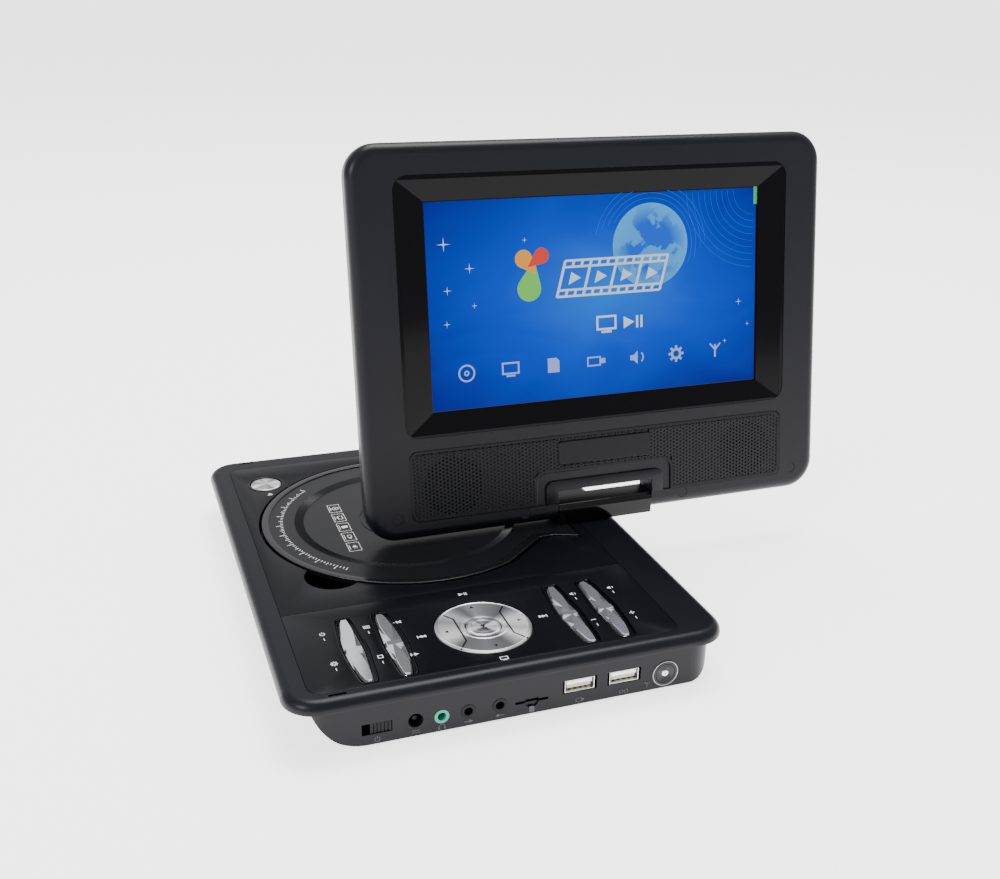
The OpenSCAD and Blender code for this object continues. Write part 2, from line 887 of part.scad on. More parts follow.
module disc_lid() {
    color("#202124")
        placed() {
            at_disc() {
                difference() {
                    translate([0, 0, lid_bottom])
                        linear_extrude(lid_top - lid_bottom)
                            lid_plan(-lid_rim_w);
                    rotate_extrude($fn = 128)
                        polygon([[0, lid_top - 0.7], [dial_r - 4.8, lid_top - 0.7],
                                 [dial_r, lid_top], [dial_r, lid_top + over], [0, lid_top + over]]);
                    difference() {
                        post(0, 0, lid_top - 1, lid_top, 22.9);
                        post(0, 0, lid_top - 2, lid_top + over, 22.3);
                    }
                }
                post(0, 0, lid_bottom - 1.4, lid_bottom + tiny, 10);
                rotate([0, 0, button_angle])
                    box(lid_r - 8, lid_r - 3.4, -3.5, 3.5, lid_bottom - 1.6, lid_bottom + tiny);
            }
            for (s = [-1, 1]) {
                box(disc_x + s * pivot_arm - 1.6, disc_x + s * pivot_arm + 1.6,
                    pivot_y - 2.6, pivot_y + 0.6, pivot_z - 1.3, lid_bottom + tiny);
                bar_x(disc_x + s * pivot_arm + (s < 0 ? -pivot_l : 0),
                      disc_x + s * pivot_arm + (s > 0 ? pivot_l : 0), pivot_y, pivot_z, pivot_r);
            }
        }
}

module lid_rim() {
    color("#0c0c0d")
        placed()
            at_disc()
                translate([0, 0, lid_bottom])
                    linear_extrude(rim_top - lid_bottom)
                        difference() {
                            lid_plan(0);
                            lid_plan(-lid_rim_w);
                        }
}

module open_button() {
    color("#cfd2d6")
        placed() {
            post(button_x, button_y, panel_z - 1.4, key_top, open_button_r);
            post(button_x, button_y, latch_z - 0.2, panel_z - 1.3, stem_r);
        }
}

module lid_latch() {
    color("#303236")
        placed()
            at_disc()
                rotate([0, 0, button_angle]) {
                    difference() {
                        box(bay_r + bay_wall + 0.4, button_reach + stem_r + 4, -stem_r - 2,
                            stem_r + 2, latch_z, latch_z + 1.2);
                        box(button_reach - stem_r - 1.2, button_reach + stem_r + 0.5,
                            -stem_r - 0.4, stem_r + 0.4, latch_z - over, latch_z + 2);
                    }
                    box(bay_r - 0.6, bay_r + bay_wall + 1.2, -3.5, 3.5, latch_z, latch_z + 2);
                }
}

// ---- keys ----

module rocker(i) {
    placed()
        at_rocker(i) {
            translate([0, 0, panel_z - 0.6])
                linear_extrude(key_top - panel_z + 0.3)
                    rocker_plan(rocker_side[i], 0);
            translate([0, 0, key_top - 0.4])
                linear_extrude(0.4)
                    rocker_plan(rocker_side[i], -0.5);
            // round bead that the key rocks on
            translate([0, 2.5, deck_z - 1.6])
                rotate([90, 0, 0])
                    cylinder(h = 5, r = 1.8);
        }
}

module rocker_key_1() {
    color("#d4d6da")
        rocker(0);
}

module rocker_key_2() {
    color("#d4d6da")
        rocker(1);
}

module rocker_key_3() {
    color("#d4d6da")
        rocker(2);
}

module rocker_key_4() {
    color("#d4d6da")
        rocker(3);
}

module nav_pivot() {
    color("#3a3c40")
        placed()
            difference() {
                union() {
                    post(nav_x, nav_y, nav_axis_z - 0.5, nav_axis_z + 0.5, centre_key_r + 5);
                    // two pairs of round trunnions, one pair on each axis
                    bar_x(nav_x - centre_key_r - 6.6, nav_x + centre_key_r + 6.6, nav_y,
                          nav_axis_z, 0.45);
                    translate([nav_x, nav_y + centre_key_r + 6.6, nav_axis_z])
                        rotate([90, 0, 0])
                            cylinder(h = 2 * centre_key_r + 13.2, r = 0.45);
                }
                post(nav_x, nav_y, switch_top - over, panel_z + over, centre_key_r + 0.5);
            }
}

module nav_plate() {
    color("#dcdee2")
        placed()
            difference() {
                union() {
                    post(nav_x, nav_y, panel_z - 0.2, key_top - 0.5, nav_r);
                    translate([nav_x, nav_y, key_top - 0.5])
                        cylinder(h = 0.5, r1 = nav_r, r2 = nav_r - 0.8);
                }
                post(nav_x, nav_y, panel_z - over, key_top + over, centre_key_r + 0.3);
            }
}

module centre_key() {
    color("#dcdee2")
        placed() {
            post(nav_x, nav_y, panel_z - 0.8, key_top - 0.1, centre_key_r);
        }
}

// ---- hinge ----

module swivel_bush() {
    color("#b08d3f")
        placed()
            difference() {
                post(0, hinge_y, boss_z, deck_z, bush_r);
                post(0, hinge_y, boss_z - over, deck_z + over, swivel_r + running_gap);
            }
}

module swivel_shaft() {
    color("#9fa2a6")
        placed()
            post(0, hinge_y, boss_z - 1.6, block_z0 + 4, swivel_r);
}

module swivel_clip() {
    color("#77797c")
        placed()
            difference() {
                post(0, hinge_y, boss_z - 1.4, boss_z - 0.3, swivel_r + 1.2);
                post(0, hinge_y, boss_z - 2, boss_z, swivel_r);
            }
}

cap_t = 2.2;

// section of the hinge block across its length, with its upper edges cut back
module block_section() {
    half = block_d / 2;
    polygon([[-half, block_z0], [half, block_z0], [half, block_top - 2.4],
             [half - 2.4, block_top], [-half + 2.4, block_top], [-half, block_top - 2.4]]);
}

module block_form() {
    translate([0, hinge_y + block_l / 2, 0])
        rotate([90, 0, 0])
            linear_extrude(block_l)
                block_section();
}

module hinge_block() {
    color("#141416")
        placed()
            difference() {
                union() {
                    difference() {
                        block_form();
                        box(block_d / 2 - cap_t, block_d, hinge_y - block_l, hinge_y + block_l,
                            deck_z, block_top + over);
                    }
                    post(0, hinge_y, deck_z + 0.1, block_z0 + tiny, bush_r + 1);
                }
                post(0, hinge_y, deck_z - over, block_z0 + 4, swivel_r);
                for (s = [-1, 1])
                    translate([0, hinge_y + s * (block_l / 2 - pin_in / 2), hinge_z])
                        rotate([90, 0, 0])
                            cylinder(h = pin_in + 2, r = tilt_pin_r + running_gap, center = true);
            }
}

module hinge_cap() {
    color("#101012")
        placed()
            intersection() {
                block_form();
                box(block_d / 2 - cap_t, block_d, hinge_y - block_l, hinge_y + block_l,
                    deck_z, block_top + over);
            }
}

module tilt_pins() {
    color("#a8abae")
        on_display()
            for (s = [-1, 1])
                bar_x(s * (block_l / 2 + (pin_out - pin_in) / 2) - (pin_in + pin_out) / 2,
                      s * (block_l / 2 + (pin_out - pin_in) / 2) + (pin_in + pin_out) / 2,
                      0, 0, tilt_pin_r);
}

// ---- display ----

notch_x1 = block_l / 2 + notch_gap;

module display_form() {
    soft_slab(-display_w / 2, display_w / 2, display_y0, display_y1, -face_z, face_z,
              display_r, display_round, display_round);
}

module display_cavity() {
    difference() {
        plate(-display_w / 2 + cover_wall + 1, display_w / 2 - cover_wall - 1, cavity_y0,
              display_y1 - cover_wall - 1, -inside_z, inside_z, display_r - cover_wall - 1);
        box(-notch_x1 - cover_wall, notch_x1 + cover_wall, 0, notch_top + cover_wall,
            -face_z, face_z);
    }
}

module display_notch() {
    box(-notch_x1, notch_x1, display_y0 - over, notch_top, -face_z - over, face_z + over);
}

module pin_seats() {
    bar_x(-block_l / 2 - pin_out, block_l / 2 + pin_out, 0, 0, tilt_pin_r);
}

module at_plugs() {
    for (s = [-1, 1], p = plug_places)
        translate([s * p.x, p.y, 0])
            children();
}

module display_front_cover() {
    color("#1a1b1e")
        on_display()
            difference() {
                display_form();
                box(-display_w, display_w, -display_h, 2 * display_h, -2 * face_z, 0);
                display_cavity();
                display_notch();
                pin_seats();
                plate(-bezel_w / 2, bezel_w / 2, bezel_y - bezel_h / 2, bezel_y + bezel_h / 2,
                      0, face_z + over, bezel_r);
                plate(-grille_w / 2, grille_w / 2, grille_y0, grille_y0 + grille_h,
                      face_z - grille_t, face_z + over, 4);
                for (s = [-1, 1])
                    post(s * speaker_x, speaker_y, inside_z - over, face_z + over, speaker_r);
                at_plugs() {
                    post(0, 0, face_z - 2.8, face_z + over, plug_r + 0.1);
                    post(0, 0, -over, face_z, screw_r);
                }
            }
}

module display_back_cover() {
    color("#1a1b1e")
        on_display()
            difference() {
                display_form();
                box(-display_w, display_w, -display_h, 2 * display_h, 0, 2 * face_z);
                display_cavity();
                display_notch();
                pin_seats();
                at_plugs()
                    post(0, 0, -face_z + 1.8, over, screw_r);
            }
}

// U-shaped trim round the notch, on the face of the display
module surround_plan(m) {
    difference() {
        plate2d(-notch_x1 - surround_w - m, notch_x1 + surround_w + m, -20,
                notch_top + surround_h + m, 4);
        translate([-notch_x1, -40])
            square([2 * notch_x1, 40 + notch_top]);
        translate([-display_w, -60])
            square([2 * display_w, 60 + grille_y0]);
    }
}

module hinge_surround() {
    color("#151618")
        on_display()
            translate([0, 0, face_z - grille_t])
                linear_extrude(grille_t + surround_proud)
                    surround_plan(0);
}

module grille_panel() {
    color("#161719")
        on_display()
            difference() {
                plate(-grille_w / 2 + 0.1, grille_w / 2 - 0.1, grille_y0 + 0.1,
                      grille_y0 + grille_h - 0.1, face_z - grille_t, face_z - 0.1, 4);
                translate([0, 0, face_z - 2 * grille_t])
                    linear_extrude(3 * grille_t)
                        plate2d(-notch_x1 - surround_w - 0.1, notch_x1 + surround_w + 0.1, -20,
                                notch_top + surround_h + 0.1, 4);
            }
}

bezel_lip = 0.5;
bezel_floor_z = glass_z + 0.9;

// half section of the bezel's funnel: across, then towards the viewer
module funnel2d(half, reach) {
    polygon([[-half, glass_z - over], [-half, bezel_floor_z], [-half - reach, face_z - 0.4],
             [-half - reach, face_z + over], [half + reach, face_z + over],
             [half + reach, face_z - 0.4], [half, bezel_floor_z], [half, glass_z - over]]);
}

module lcd_bezel() {
    color("#08080a")
        on_display()
            difference() {
                plate(-bezel_w / 2 + 0.1, bezel_w / 2 - 0.1, bezel_y - bezel_h / 2 + 0.1,
                      bezel_y + bezel_h / 2 - 0.1, glass_z + 0.1, face_z - 0.3, bezel_r);
                intersection() {
                    translate([0, screen_y + screen_h, 0])
                        rotate([90, 0, 0])
                            linear_extrude(2 * screen_h)
                                funnel2d(screen_w / 2 + bezel_lip, 12.6);
                    translate([-screen_w, screen_y, 0])
                        rotate([90, 0, 90])
                            linear_extrude(2 * screen_w)
                                funnel2d(screen_h / 2 + bezel_lip, 9.6);
                }
            }
}

module lcd_panel() {
    color("#1d4fd0")
        on_display()
            box(-screen_w / 2 - 3, screen_w / 2 + 3, screen_y - screen_h / 2 - 3,
                screen_y + screen_h / 2 + 3, glass_z - 2, glass_z);
}

module lcd_frame() {
    color("#a9acaf")
        on_display()
            box(-screen_w / 2 - 4.5, screen_w / 2 + 4.5, screen_y - screen_h / 2 - 4.5,
                screen_y + screen_h / 2 + 4.5, glass_z - 4, glass_z - 2);
}

module display_board() {
    color("#1f5a37")
        on_display() {
            box(-60, 60, screen_y - 40, screen_y + 12, -inside_z, -inside_z + 1.6);
            box(-20, -4, screen_y - 24, screen_y - 8, -inside_z + 1.6 - tiny, -inside_z + 2.8);
            box(16, 40, screen_y - 30, screen_y - 20, -inside_z + 1.6 - tiny, -inside_z + 3.4);
        }
}

module speakers() {
    color("#2a2a2c")
        on_display()
            for (s = [-1, 1]) {
                post(s * speaker_x, speaker_y, 1, inside_z, speaker_r);
                post(s * speaker_x, speaker_y, -inside_z + 1, 1 + tiny, 7);
            }
}

module screw_plugs() {
    color("#121214")
        on_display()
            at_plugs()
                post(0, 0, face_z - 1.2, face_z - 0.2, plug_r);
}

module display_screws() {
    color("#8b8d90")
        on_display()
            at_plugs() {
                post(0, 0, face_z - 2.8, face_z - 1.4, 2.2);
                post(0, 0, -face_z + 2, face_z - 2.8 + tiny, screw_r);
            }
}

bottom_case();
top_case();
disc_deck();
control_panel();
rubber_feet();
case_screws();
battery_pack();
main_board();
key_board();
dc_jack();
headphone_jack();
av_out_jack();
av_in_jack();
card_socket();
usb_socket();
game_socket();
aerial_socket();
power_switch_housing();
power_switch_knob();
drive_chassis();
drive_dampers();
spindle_motor();
guide_rods();
sled_motor();
sled_gear();
pickup();
turntable();
disc_lid();
lid_rim();
open_button();
lid_latch();
rocker_key_1();
rocker_key_2();
rocker_key_3();
rocker_key_4();
nav_pivot();
nav_plate();
centre_key();
swivel_bush();
swivel_shaft();
swivel_clip();
hinge_block();
hinge_cap();
tilt_pins();
display_front_cover();
display_back_cover();
hinge_surround();
grille_panel();
lcd_bezel();
lcd_panel();
lcd_frame();
display_board();
speakers();
screw_plugs();
display_screws();
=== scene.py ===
# %% [markdown]
# # A portable disc player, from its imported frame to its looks
# The player is a flat base with a round disc lid, silver keys and a row of ports, and a
# display that swivels and tilts on a hinge block. Every CAD part is already in place, at its
# real size. This script gives each one its finish and adds what a CAD model leaves out:
# the perforated grille, the ribbed lid, the faceted keys, the printed signs and the lit
# screen.
# Everything is in metres, and each place is worked out from the frame.

# %% Load the frame
import json
import math
from contextlib import contextmanager

import bmesh
import bpy
from mathutils import Matrix, Vector

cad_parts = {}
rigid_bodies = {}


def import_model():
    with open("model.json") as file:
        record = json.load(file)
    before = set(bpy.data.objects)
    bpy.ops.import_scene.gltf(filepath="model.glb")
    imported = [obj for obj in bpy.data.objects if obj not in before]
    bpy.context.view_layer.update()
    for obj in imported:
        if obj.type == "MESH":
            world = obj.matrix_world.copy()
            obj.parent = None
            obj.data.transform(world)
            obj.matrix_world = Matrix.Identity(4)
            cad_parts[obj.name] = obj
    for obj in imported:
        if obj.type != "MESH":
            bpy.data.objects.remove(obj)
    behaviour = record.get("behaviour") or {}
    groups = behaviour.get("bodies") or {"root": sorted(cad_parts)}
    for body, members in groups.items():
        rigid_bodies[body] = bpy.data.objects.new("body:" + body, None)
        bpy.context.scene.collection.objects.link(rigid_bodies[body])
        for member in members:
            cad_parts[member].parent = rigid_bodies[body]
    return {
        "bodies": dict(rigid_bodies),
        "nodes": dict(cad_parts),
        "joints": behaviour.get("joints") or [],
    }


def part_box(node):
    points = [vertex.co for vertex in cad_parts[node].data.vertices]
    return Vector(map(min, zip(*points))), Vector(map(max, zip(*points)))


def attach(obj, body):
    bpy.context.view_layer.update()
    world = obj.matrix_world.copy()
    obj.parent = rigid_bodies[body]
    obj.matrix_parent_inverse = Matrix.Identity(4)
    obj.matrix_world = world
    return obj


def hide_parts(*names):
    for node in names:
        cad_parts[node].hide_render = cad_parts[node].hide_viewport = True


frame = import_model()
nodes = frame["nodes"]
joints = {j["name"]: j for j in frame["joints"]}
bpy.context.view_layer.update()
mm = 0.001

# %% [markdown]
# ## The camera, the floor and the light
# The camera stands at the front right, a little above the object, over a plain pale floor.
# A large soft light hangs overhead and a smaller one stands at the side. The camera is
# placed by its position, azimuth, elevation and a small roll, which are easier to read
# than a matrix.

# %% Camera
camera_place = Vector((0.48335, -0.20156, 0.27655))
camera_azimuth = math.radians(69.89)
camera_elevation = math.radians(21.73)
camera_roll = math.radians(1.145)
lens_mm = 42.03


def camera_axes(azimuth, elevation, roll):
    """The camera's right, up and back directions."""
    back = Vector((math.sin(azimuth) * math.cos(elevation),
                   -math.cos(azimuth) * math.cos(elevation), math.sin(elevation)))
    right = (-back).cross(Vector((0, 0, 1))).normalized()
    up = right.cross(-back)
    turned_right = math.cos(roll) * right + math.sin(roll) * up
    turned_up = math.cos(roll) * up - math.sin(roll) * right
    return turned_right, turned_up, back


camera_data = bpy.data.cameras.new("camera")
camera_data.lens = lens_mm
camera_data.sensor_width = 36
camera = bpy.data.objects.new("camera", camera_data)
axes = camera_axes(camera_azimuth, camera_elevation, camera_roll)
camera.matrix_world = Matrix.Translation(camera_place) @ Matrix(axes).transposed().to_4x4()
bpy.context.scene.collection.objects.link(camera)
bpy.context.scene.camera = camera
print("camera looks from", tuple(round(c, 3) for c in camera_place))

# %% Floor and backdrop
floor_size = 90.0


def principled(name, color, **sockets):
    """A material with one Principled shader; the sockets are given by name."""
    material = bpy.data.materials.new(name)
    material.use_nodes = True
    shader = material.node_tree.nodes["Principled BSDF"]
    shader.inputs["Base Color"].default_value = (*color, 1)
    for socket, value in sockets.items():
        shader.inputs[socket.replace("_", " ")].default_value = value
    return material


def place_floor():
    """A wide floor just below the feet."""
    mesh = bpy.data.meshes.new("floor")
    half = floor_size / 2
    corners = [(-half, -half, 0), (half, -half, 0), (half, half, 0), (-half, half, 0)]
    mesh.from_pydata(corners, [], [(0, 1, 2, 3)])
    floor = bpy.data.objects.new("floor", mesh)
    floor.data.materials.append(principled("floor_white", (0.93, 0.92, 0.925), Roughness=0.9,
                                            Specular_IOR_Level=0.1,
                                            Emission_Color=(1, 0.98, 0.99, 1),
                                            Emission_Strength=2.2))
    bpy.context.scene.collection.objects.link(floor)


place_floor()

# %% Lights


def area_light(name, place, target, size, power):
    """A square soft light that points at the target."""
    data = bpy.data.lights.new(name, "AREA")
    data.size = size
    data.energy = power
    lamp = bpy.data.objects.new(name, data)
    lamp.location = place
    direction = Vector(target) - Vector(place)
    lamp.rotation_euler = direction.to_track_quat("-Z", "Y").to_euler()
    bpy.context.scene.collection.objects.link(lamp)


def soft_world(color, strength, seen_strength):
    """An even pale surround; straight behind the floor it is as bright as the floor."""
    world = bpy.data.worlds.new("surround")
    world.use_nodes = True
    tree = world.node_tree
    background = tree.nodes["Background"]
    background.inputs["Color"].default_value = (*color, 1)
    rays = tree.nodes.new("ShaderNodeLightPath")
    level = tree.nodes.new("ShaderNodeMapRange")
    level.inputs["To Min"].default_value = strength
    level.inputs["To Max"].default_value = seen_strength
    tree.links.new(rays.outputs["Is Camera Ray"], level.inputs["Value"])
    tree.links.new(level.outputs["Result"], background.inputs["Strength"])
    bpy.context.scene.world = world


soft_world((0.97, 0.965, 0.98), 0.85, 3.0)
area_light("overhead", (-0.35, 0.2, 1.6), (0, 0, 0), 1.0, 34)
area_light("side", (0.7, -1.3, 0.9), (0, 0, 0.05), 0.5, 12)

# %% [markdown]
# ## Shared surface effects
# Moulded plastic is never quite flat: the tool leaves a fine grain, and its gloss wanders a
# little. Both effects are used by many finishes, so they share one node group, made once
# and placed in every moulded material with its own values.

# %% Node group helpers


def group_socket(group, name, into, kind="NodeSocketFloat", value=None):
    """Adds an input (into=True) or an output to a node group."""
    socket = group.interface.new_socket(name, in_out="INPUT" if into else "OUTPUT",
                                        socket_type=kind)
    if value is not None:
        socket.default_value = value
    return socket


def wire(tree, *links):
    """Links nodes; each link is (node, output, node, input)."""
    for source, output, target, socket in links:
        tree.links.new(source.outputs[output], target.inputs[socket])


def node(tree, kind, values=None, **settings):
    """Adds a node; the settings are its properties, and the values go to its inputs."""
    made = tree.nodes.new(kind)
    for name, value in settings.items():
        setattr(made, name, value)
    for socket, value in (values or {}).items():
        made.inputs[socket].default_value = value
    return made


def color_ramp(tree, first, last, *between):
    """A colour ramp; each stop is a (position, color)."""
    made = node(tree, "ShaderNodeValToRGB")
    stops = made.color_ramp.elements
    for stop, (position, color) in zip(list(stops), (first, last)):
        stop.position, stop.color = position, (*color, 1)
    for position, color in between:
        stops.new(position).color = (*color, 1)
    return made


# %% Moulded grain group


def make_grain_group():
    """Fine moulded grain: a bump normal, a roughness that wanders and a tinted base colour."""
    group = bpy.data.node_groups.new("moulded_grain", "ShaderNodeTree")
    group_socket(group, "Color", True, "NodeSocketColor", (0.02, 0.02, 0.02, 1))
    group_socket(group, "Variation", True, value=0.15)
    group_socket(group, "Roughness", True, value=0.4)
    group_socket(group, "Wander", True, value=0.06)
    group_socket(group, "Grain Scale", True, value=2500.0)
    group_socket(group, "Grain Height", True, value=0.00002)
    group_socket(group, "Color", False, "NodeSocketColor")
    group_socket(group, "Roughness", False)
    group_socket(group, "Height", False)
    given = node(group, "NodeGroupInput")
    out = node(group, "NodeGroupOutput")
    place = node(group, "ShaderNodeTexCoord")
    cloud = node(group, "ShaderNodeTexNoise", {"Scale": 28, "Detail": 4})
    grain = node(group, "ShaderNodeTexNoise", {"Detail": 2})
    spread = node(group, "ShaderNodeMath", {1: 0.5}, operation="SUBTRACT")
    wander = node(group, "ShaderNodeMath", operation="MULTIPLY_ADD")
    shade = node(group, "ShaderNodeMath", {2: 1.0}, operation="MULTIPLY_ADD")
    tint = node(group, "ShaderNodeVectorMath", operation="SCALE")
    height = node(group, "ShaderNodeMath", operation="MULTIPLY")
    wire(group, (place, "Object", cloud, "Vector"), (place, "Object", grain, "Vector"),
         (given, "Grain Scale", grain, "Scale"), (cloud, "Fac", spread, 0),
         (spread, 0, wander, 0), (given, "Wander", wander, 1), (given, "Roughness", wander, 2),
         (spread, 0, shade, 0), (given, "Variation", shade, 1), (given, "Color", tint, 0),
         (shade, 0, tint, "Scale"), (grain, "Fac", height, 0),
         (given, "Grain Height", height, 1), (tint, 0, out, "Color"),
         (wander, 0, out, "Roughness"), (height, 0, out, "Height"))
    return group


grain_group = make_grain_group()

# %% [markdown]
# ## The finishes
# The casing is satin black moulding with a fine grain. The deck and the lid are smoother.
# The bezel and the lid's rim are polished black, the keys are plated and the navigation
# plate is turned metal, whose fine circular scratches spread each light into a radial fan;
# part of that fan is a painted highlight in the plate's colour.

# %% Moulded plastics


def moulded(name, color, roughness, wander=0.08, scale=2500.0, height=0.00002,
            variation=0.3, **sockets):
    """Plastic with the moulded grain group behind its colour, roughness and bump."""
    material = principled(name, color, **sockets)
    tree = material.node_tree
    shader = tree.nodes["Principled BSDF"]
    grain = node(tree, "ShaderNodeGroup", {
        "Color": (*color, 1), "Variation": variation, "Roughness": roughness, "Wander": wander,
        "Grain Scale": scale, "Grain Height": height}, node_tree=grain_group)
    bump = node(tree, "ShaderNodeBump", {"Distance": 1.0})
    wire(tree, (grain, "Color", shader, "Base Color"),
         (grain, "Roughness", shader, "Roughness"), (grain, "Height", bump, "Height"),
         (bump, "Normal", shader, "Normal"))
    return material


casing = moulded("casing_black", (0.0034, 0.0037, 0.0056), 0.34, Specular_IOR_Level=0.2)
deck_finish = moulded("deck_black", (0.0034, 0.0036, 0.0048), 0.3, height=0.000008,
                      Specular_IOR_Level=0.15)
lid_finish = moulded("lid_black", (0.0065, 0.0068, 0.008), 0.3, wander=0.02, height=0.000008,
                     Specular_IOR_Level=0.25)
grille_finish = moulded("grille_black", (0.0042, 0.0045, 0.006), 0.45, Specular_IOR_Level=0.2)
port_finish = moulded("port_black", (0.0022, 0.0022, 0.0026), 0.5, Specular_IOR_Level=0.2)
polished = moulded("polished_black", (0.0015, 0.0015, 0.002), 0.1, wander=0.04, height=0.0,
                   Specular_IOR_Level=0.22)
rim_finish = moulded("rim_black", (0.006, 0.006, 0.007), 0.14, wander=0.02, height=0.0,
                     Specular_IOR_Level=0.7)
bezel_finish = moulded("bezel_black", (0.0012, 0.0012, 0.0017), 0.09, wander=0.03, height=0.0,
                       Specular_IOR_Level=0.11)
rubber_finish = moulded("rubber_black", (0.012, 0.012, 0.012), 0.75)
green_finish = moulded("jack_green", (0.01, 0.30, 0.20), 0.3)
board_finish = moulded("solder_mask", (0.02, 0.16, 0.06), 0.4, scale=700)
wrap_finish = moulded("cell_wrap", (0.03, 0.10, 0.28), 0.3)
acetal_finish = moulded("acetal", (0.72, 0.70, 0.62), 0.45)
ivory_tongue = moulded("contact_tongue", (0.55, 0.53, 0.46), 0.5)
print("plastics ready")

# %% Metals


def metal(name, color, roughness, wander=0.08, scale=400.0, height=0.000004, **sockets):
    return moulded(name, color, roughness, wander, scale, height, 0.1, Metallic=1.0, **sockets)


steel_finish = metal("steel", (0.62, 0.62, 0.63), 0.3)
brass_finish = metal("brass", (0.70, 0.50, 0.22), 0.3)
plated = moulded("plated_silver", (0.93, 0.94, 0.96), 0.17, wander=0.02, height=0.0,
                 variation=0.05, Metallic=0.9)
socket_metal = metal("socket_shell", (0.72, 0.71, 0.69), 0.25)

# %% Give every CAD node its finish
finishes = {
    "bottom_case": casing, "top_case": casing, "display_front_cover": casing,
    "display_back_cover": casing, "hinge_block": casing, "hinge_surround": casing,
    "disc_deck": deck_finish, "control_panel": deck_finish, "disc_lid": lid_finish,
    "grille_panel": grille_finish, "lid_rim": rim_finish, "lcd_bezel": bezel_finish,
    "hinge_cap": polished, "dc_jack": port_finish, "av_out_jack": port_finish,
    "av_in_jack": port_finish, "power_switch_housing": port_finish,
    "power_switch_knob": port_finish, "screw_plugs": casing, "speakers": port_finish,
    "nav_pivot": port_finish, "lid_latch": port_finish, "turntable": port_finish,
    "pickup": port_finish, "rubber_feet": rubber_finish, "drive_dampers": rubber_finish,
    "swivel_bush": brass_finish, "headphone_jack": green_finish, "main_board": board_finish,
    "key_board": board_finish, "display_board": board_finish, "battery_pack": wrap_finish,
    "sled_gear": acetal_finish, "open_button": plated, "nav_plate": plated,
    "centre_key": plated, "usb_socket": socket_metal, "game_socket": socket_metal,
    "aerial_socket": port_finish, "lcd_panel": polished,
}
for number in range(1, 5):
    finishes[f"rocker_key_{number}"] = plated
for name, part in nodes.items():
    part.data.materials.clear()
    part.data.materials.append(finishes.get(name, steel_finish))
print("finished", len(nodes), "CAD nodes")

# %% [markdown]
# ## Where things are
# The display leans back on its hinge, so its own pieces are easier to draw flat: across,
# up the screen and out of the screen. One matrix carries such a drawing to its place, and
# its inverse measures the CAD nodes in the same flat coordinates. The base needs only the
# height of its deck.

# %% The display's own coordinates
tilt = joints["display_tilt"]
lean = math.radians(-tilt["range_deg"][0] - 90)
on_display = (Matrix.Translation(tilt["pos_m"]) @ Matrix.Rotation(-lean, 4, "Y")
              @ Matrix.Rotation(math.radians(90), 4, "Z")
              @ Matrix.Rotation(math.radians(90), 4, "X"))
in_display = on_display.inverted()


def flat_box(name):
    """Lowest and highest corner of a display node in the display's own coordinates."""
    points = [in_display @ v.co for v in nodes[name].data.vertices]
    low = Vector([min(p[k] for p in points) for k in range(3)])
    high = Vector([max(p[k] for p in points) for k in range(3)])
    return low, high


face = flat_box("display_front_cover")[1].z
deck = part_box("control_panel")[1].z
print("display face", round(face, 4), "deck", round(deck, 4))

# %% [markdown]
# ## Helpers for building pieces
# Every finished piece sits at the origin with its place in its mesh and rides on a body.
# Small printed and raised signs are thin prisms, made from a few flat shapes: strokes,
# discs, rings and polygons.

# %% Finished pieces


def add_piece(name, mesh, material, body, slot, *replaced):
    """Makes an object of a mesh that is already in place and sets it on its body."""
    piece = bpy.data.objects.new(name, mesh)
    bpy.context.scene.collection.objects.link(piece)
    if material is not None:
        mesh.materials.clear()
        mesh.materials.append(material)
    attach(piece, body)
    if replaced:
        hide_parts(*replaced)
    return piece


def mesh_from(name, vertices, faces, matrix=None, smooth=False):
    """A mesh from points and faces, carried to its place by a matrix."""
    mesh = bpy.data.meshes.new(name)
    mesh.from_pydata([tuple(v) for v in vertices], [], faces)
    if matrix is not None:
        mesh.transform(matrix)
    mesh.validate()
    shade(mesh, smooth)
    return mesh


@contextmanager
def editing(mesh):
    """Opens a mesh for editing and writes it back at the end."""
    work = bmesh.new()
    work.from_mesh(mesh)
    yield work
    work.to_mesh(mesh)
    work.free()


def shade(mesh, smooth):
    for polygon in mesh.polygons:
        polygon.use_smooth = smooth


def tidy_mesh(mesh, merge=1e-6):
    """Merges doubled points and turns every face outwards."""
    with editing(mesh) as work:
        bmesh.ops.remove_doubles(work, verts=work.verts, dist=merge)
        bmesh.ops.recalc_face_normals(work, faces=work.faces)
    return mesh


def round_edges(work, width, segments, angle):
    """Rounds the edges sharper than an angle, which catches the light on a real part."""
    sharp = [e for e in work.edges
             if e.is_manifold and e.calc_face_angle(0) > math.radians(angle)]
    bmesh.ops.bevel(work, geom=sharp, offset=width, segments=segments, profile=0.6,
                    affect="EDGES", clamp_overlap=True)


# %% Flat shapes for signs


def stroke(points, width):
    """Quads along a line of points."""
    shapes = []
    for a, b in zip(points, points[1:]):
        a, b = Vector(a), Vector(b)
        side = (b - a).orthogonal().normalized() * width / 2
        ends = (b - a).normalized() * width / 4
        shapes.append([a - side - ends, b - side + ends, b + side + ends, a + side - ends])
    return shapes


def circle_points(x, y, r, count=24, start=0.0, end=360.0):
    turns = [math.radians(start + (end - start) * k / count) for k in range(count + 1)]
    return [(x + r * math.cos(t), y + r * math.sin(t)) for t in turns]


def disc(x, y, r, count=20):
    return [circle_points(x, y, r, count)[:-1]]


def ring(x, y, r, width, count=24, start=0.0, end=360.0):
    inner = circle_points(x, y, r - width / 2, count, start, end)
    outer = circle_points(x, y, r + width / 2, count, start, end)
    return [[inner[k], outer[k], outer[k + 1], inner[k + 1]] for k in range(count)]


def bar(x, y, w, h):
    return [[(x - w / 2, y - h / 2), (x + w / 2, y - h / 2), (x + w / 2, y + h / 2),
             (x - w / 2, y + h / 2)]]


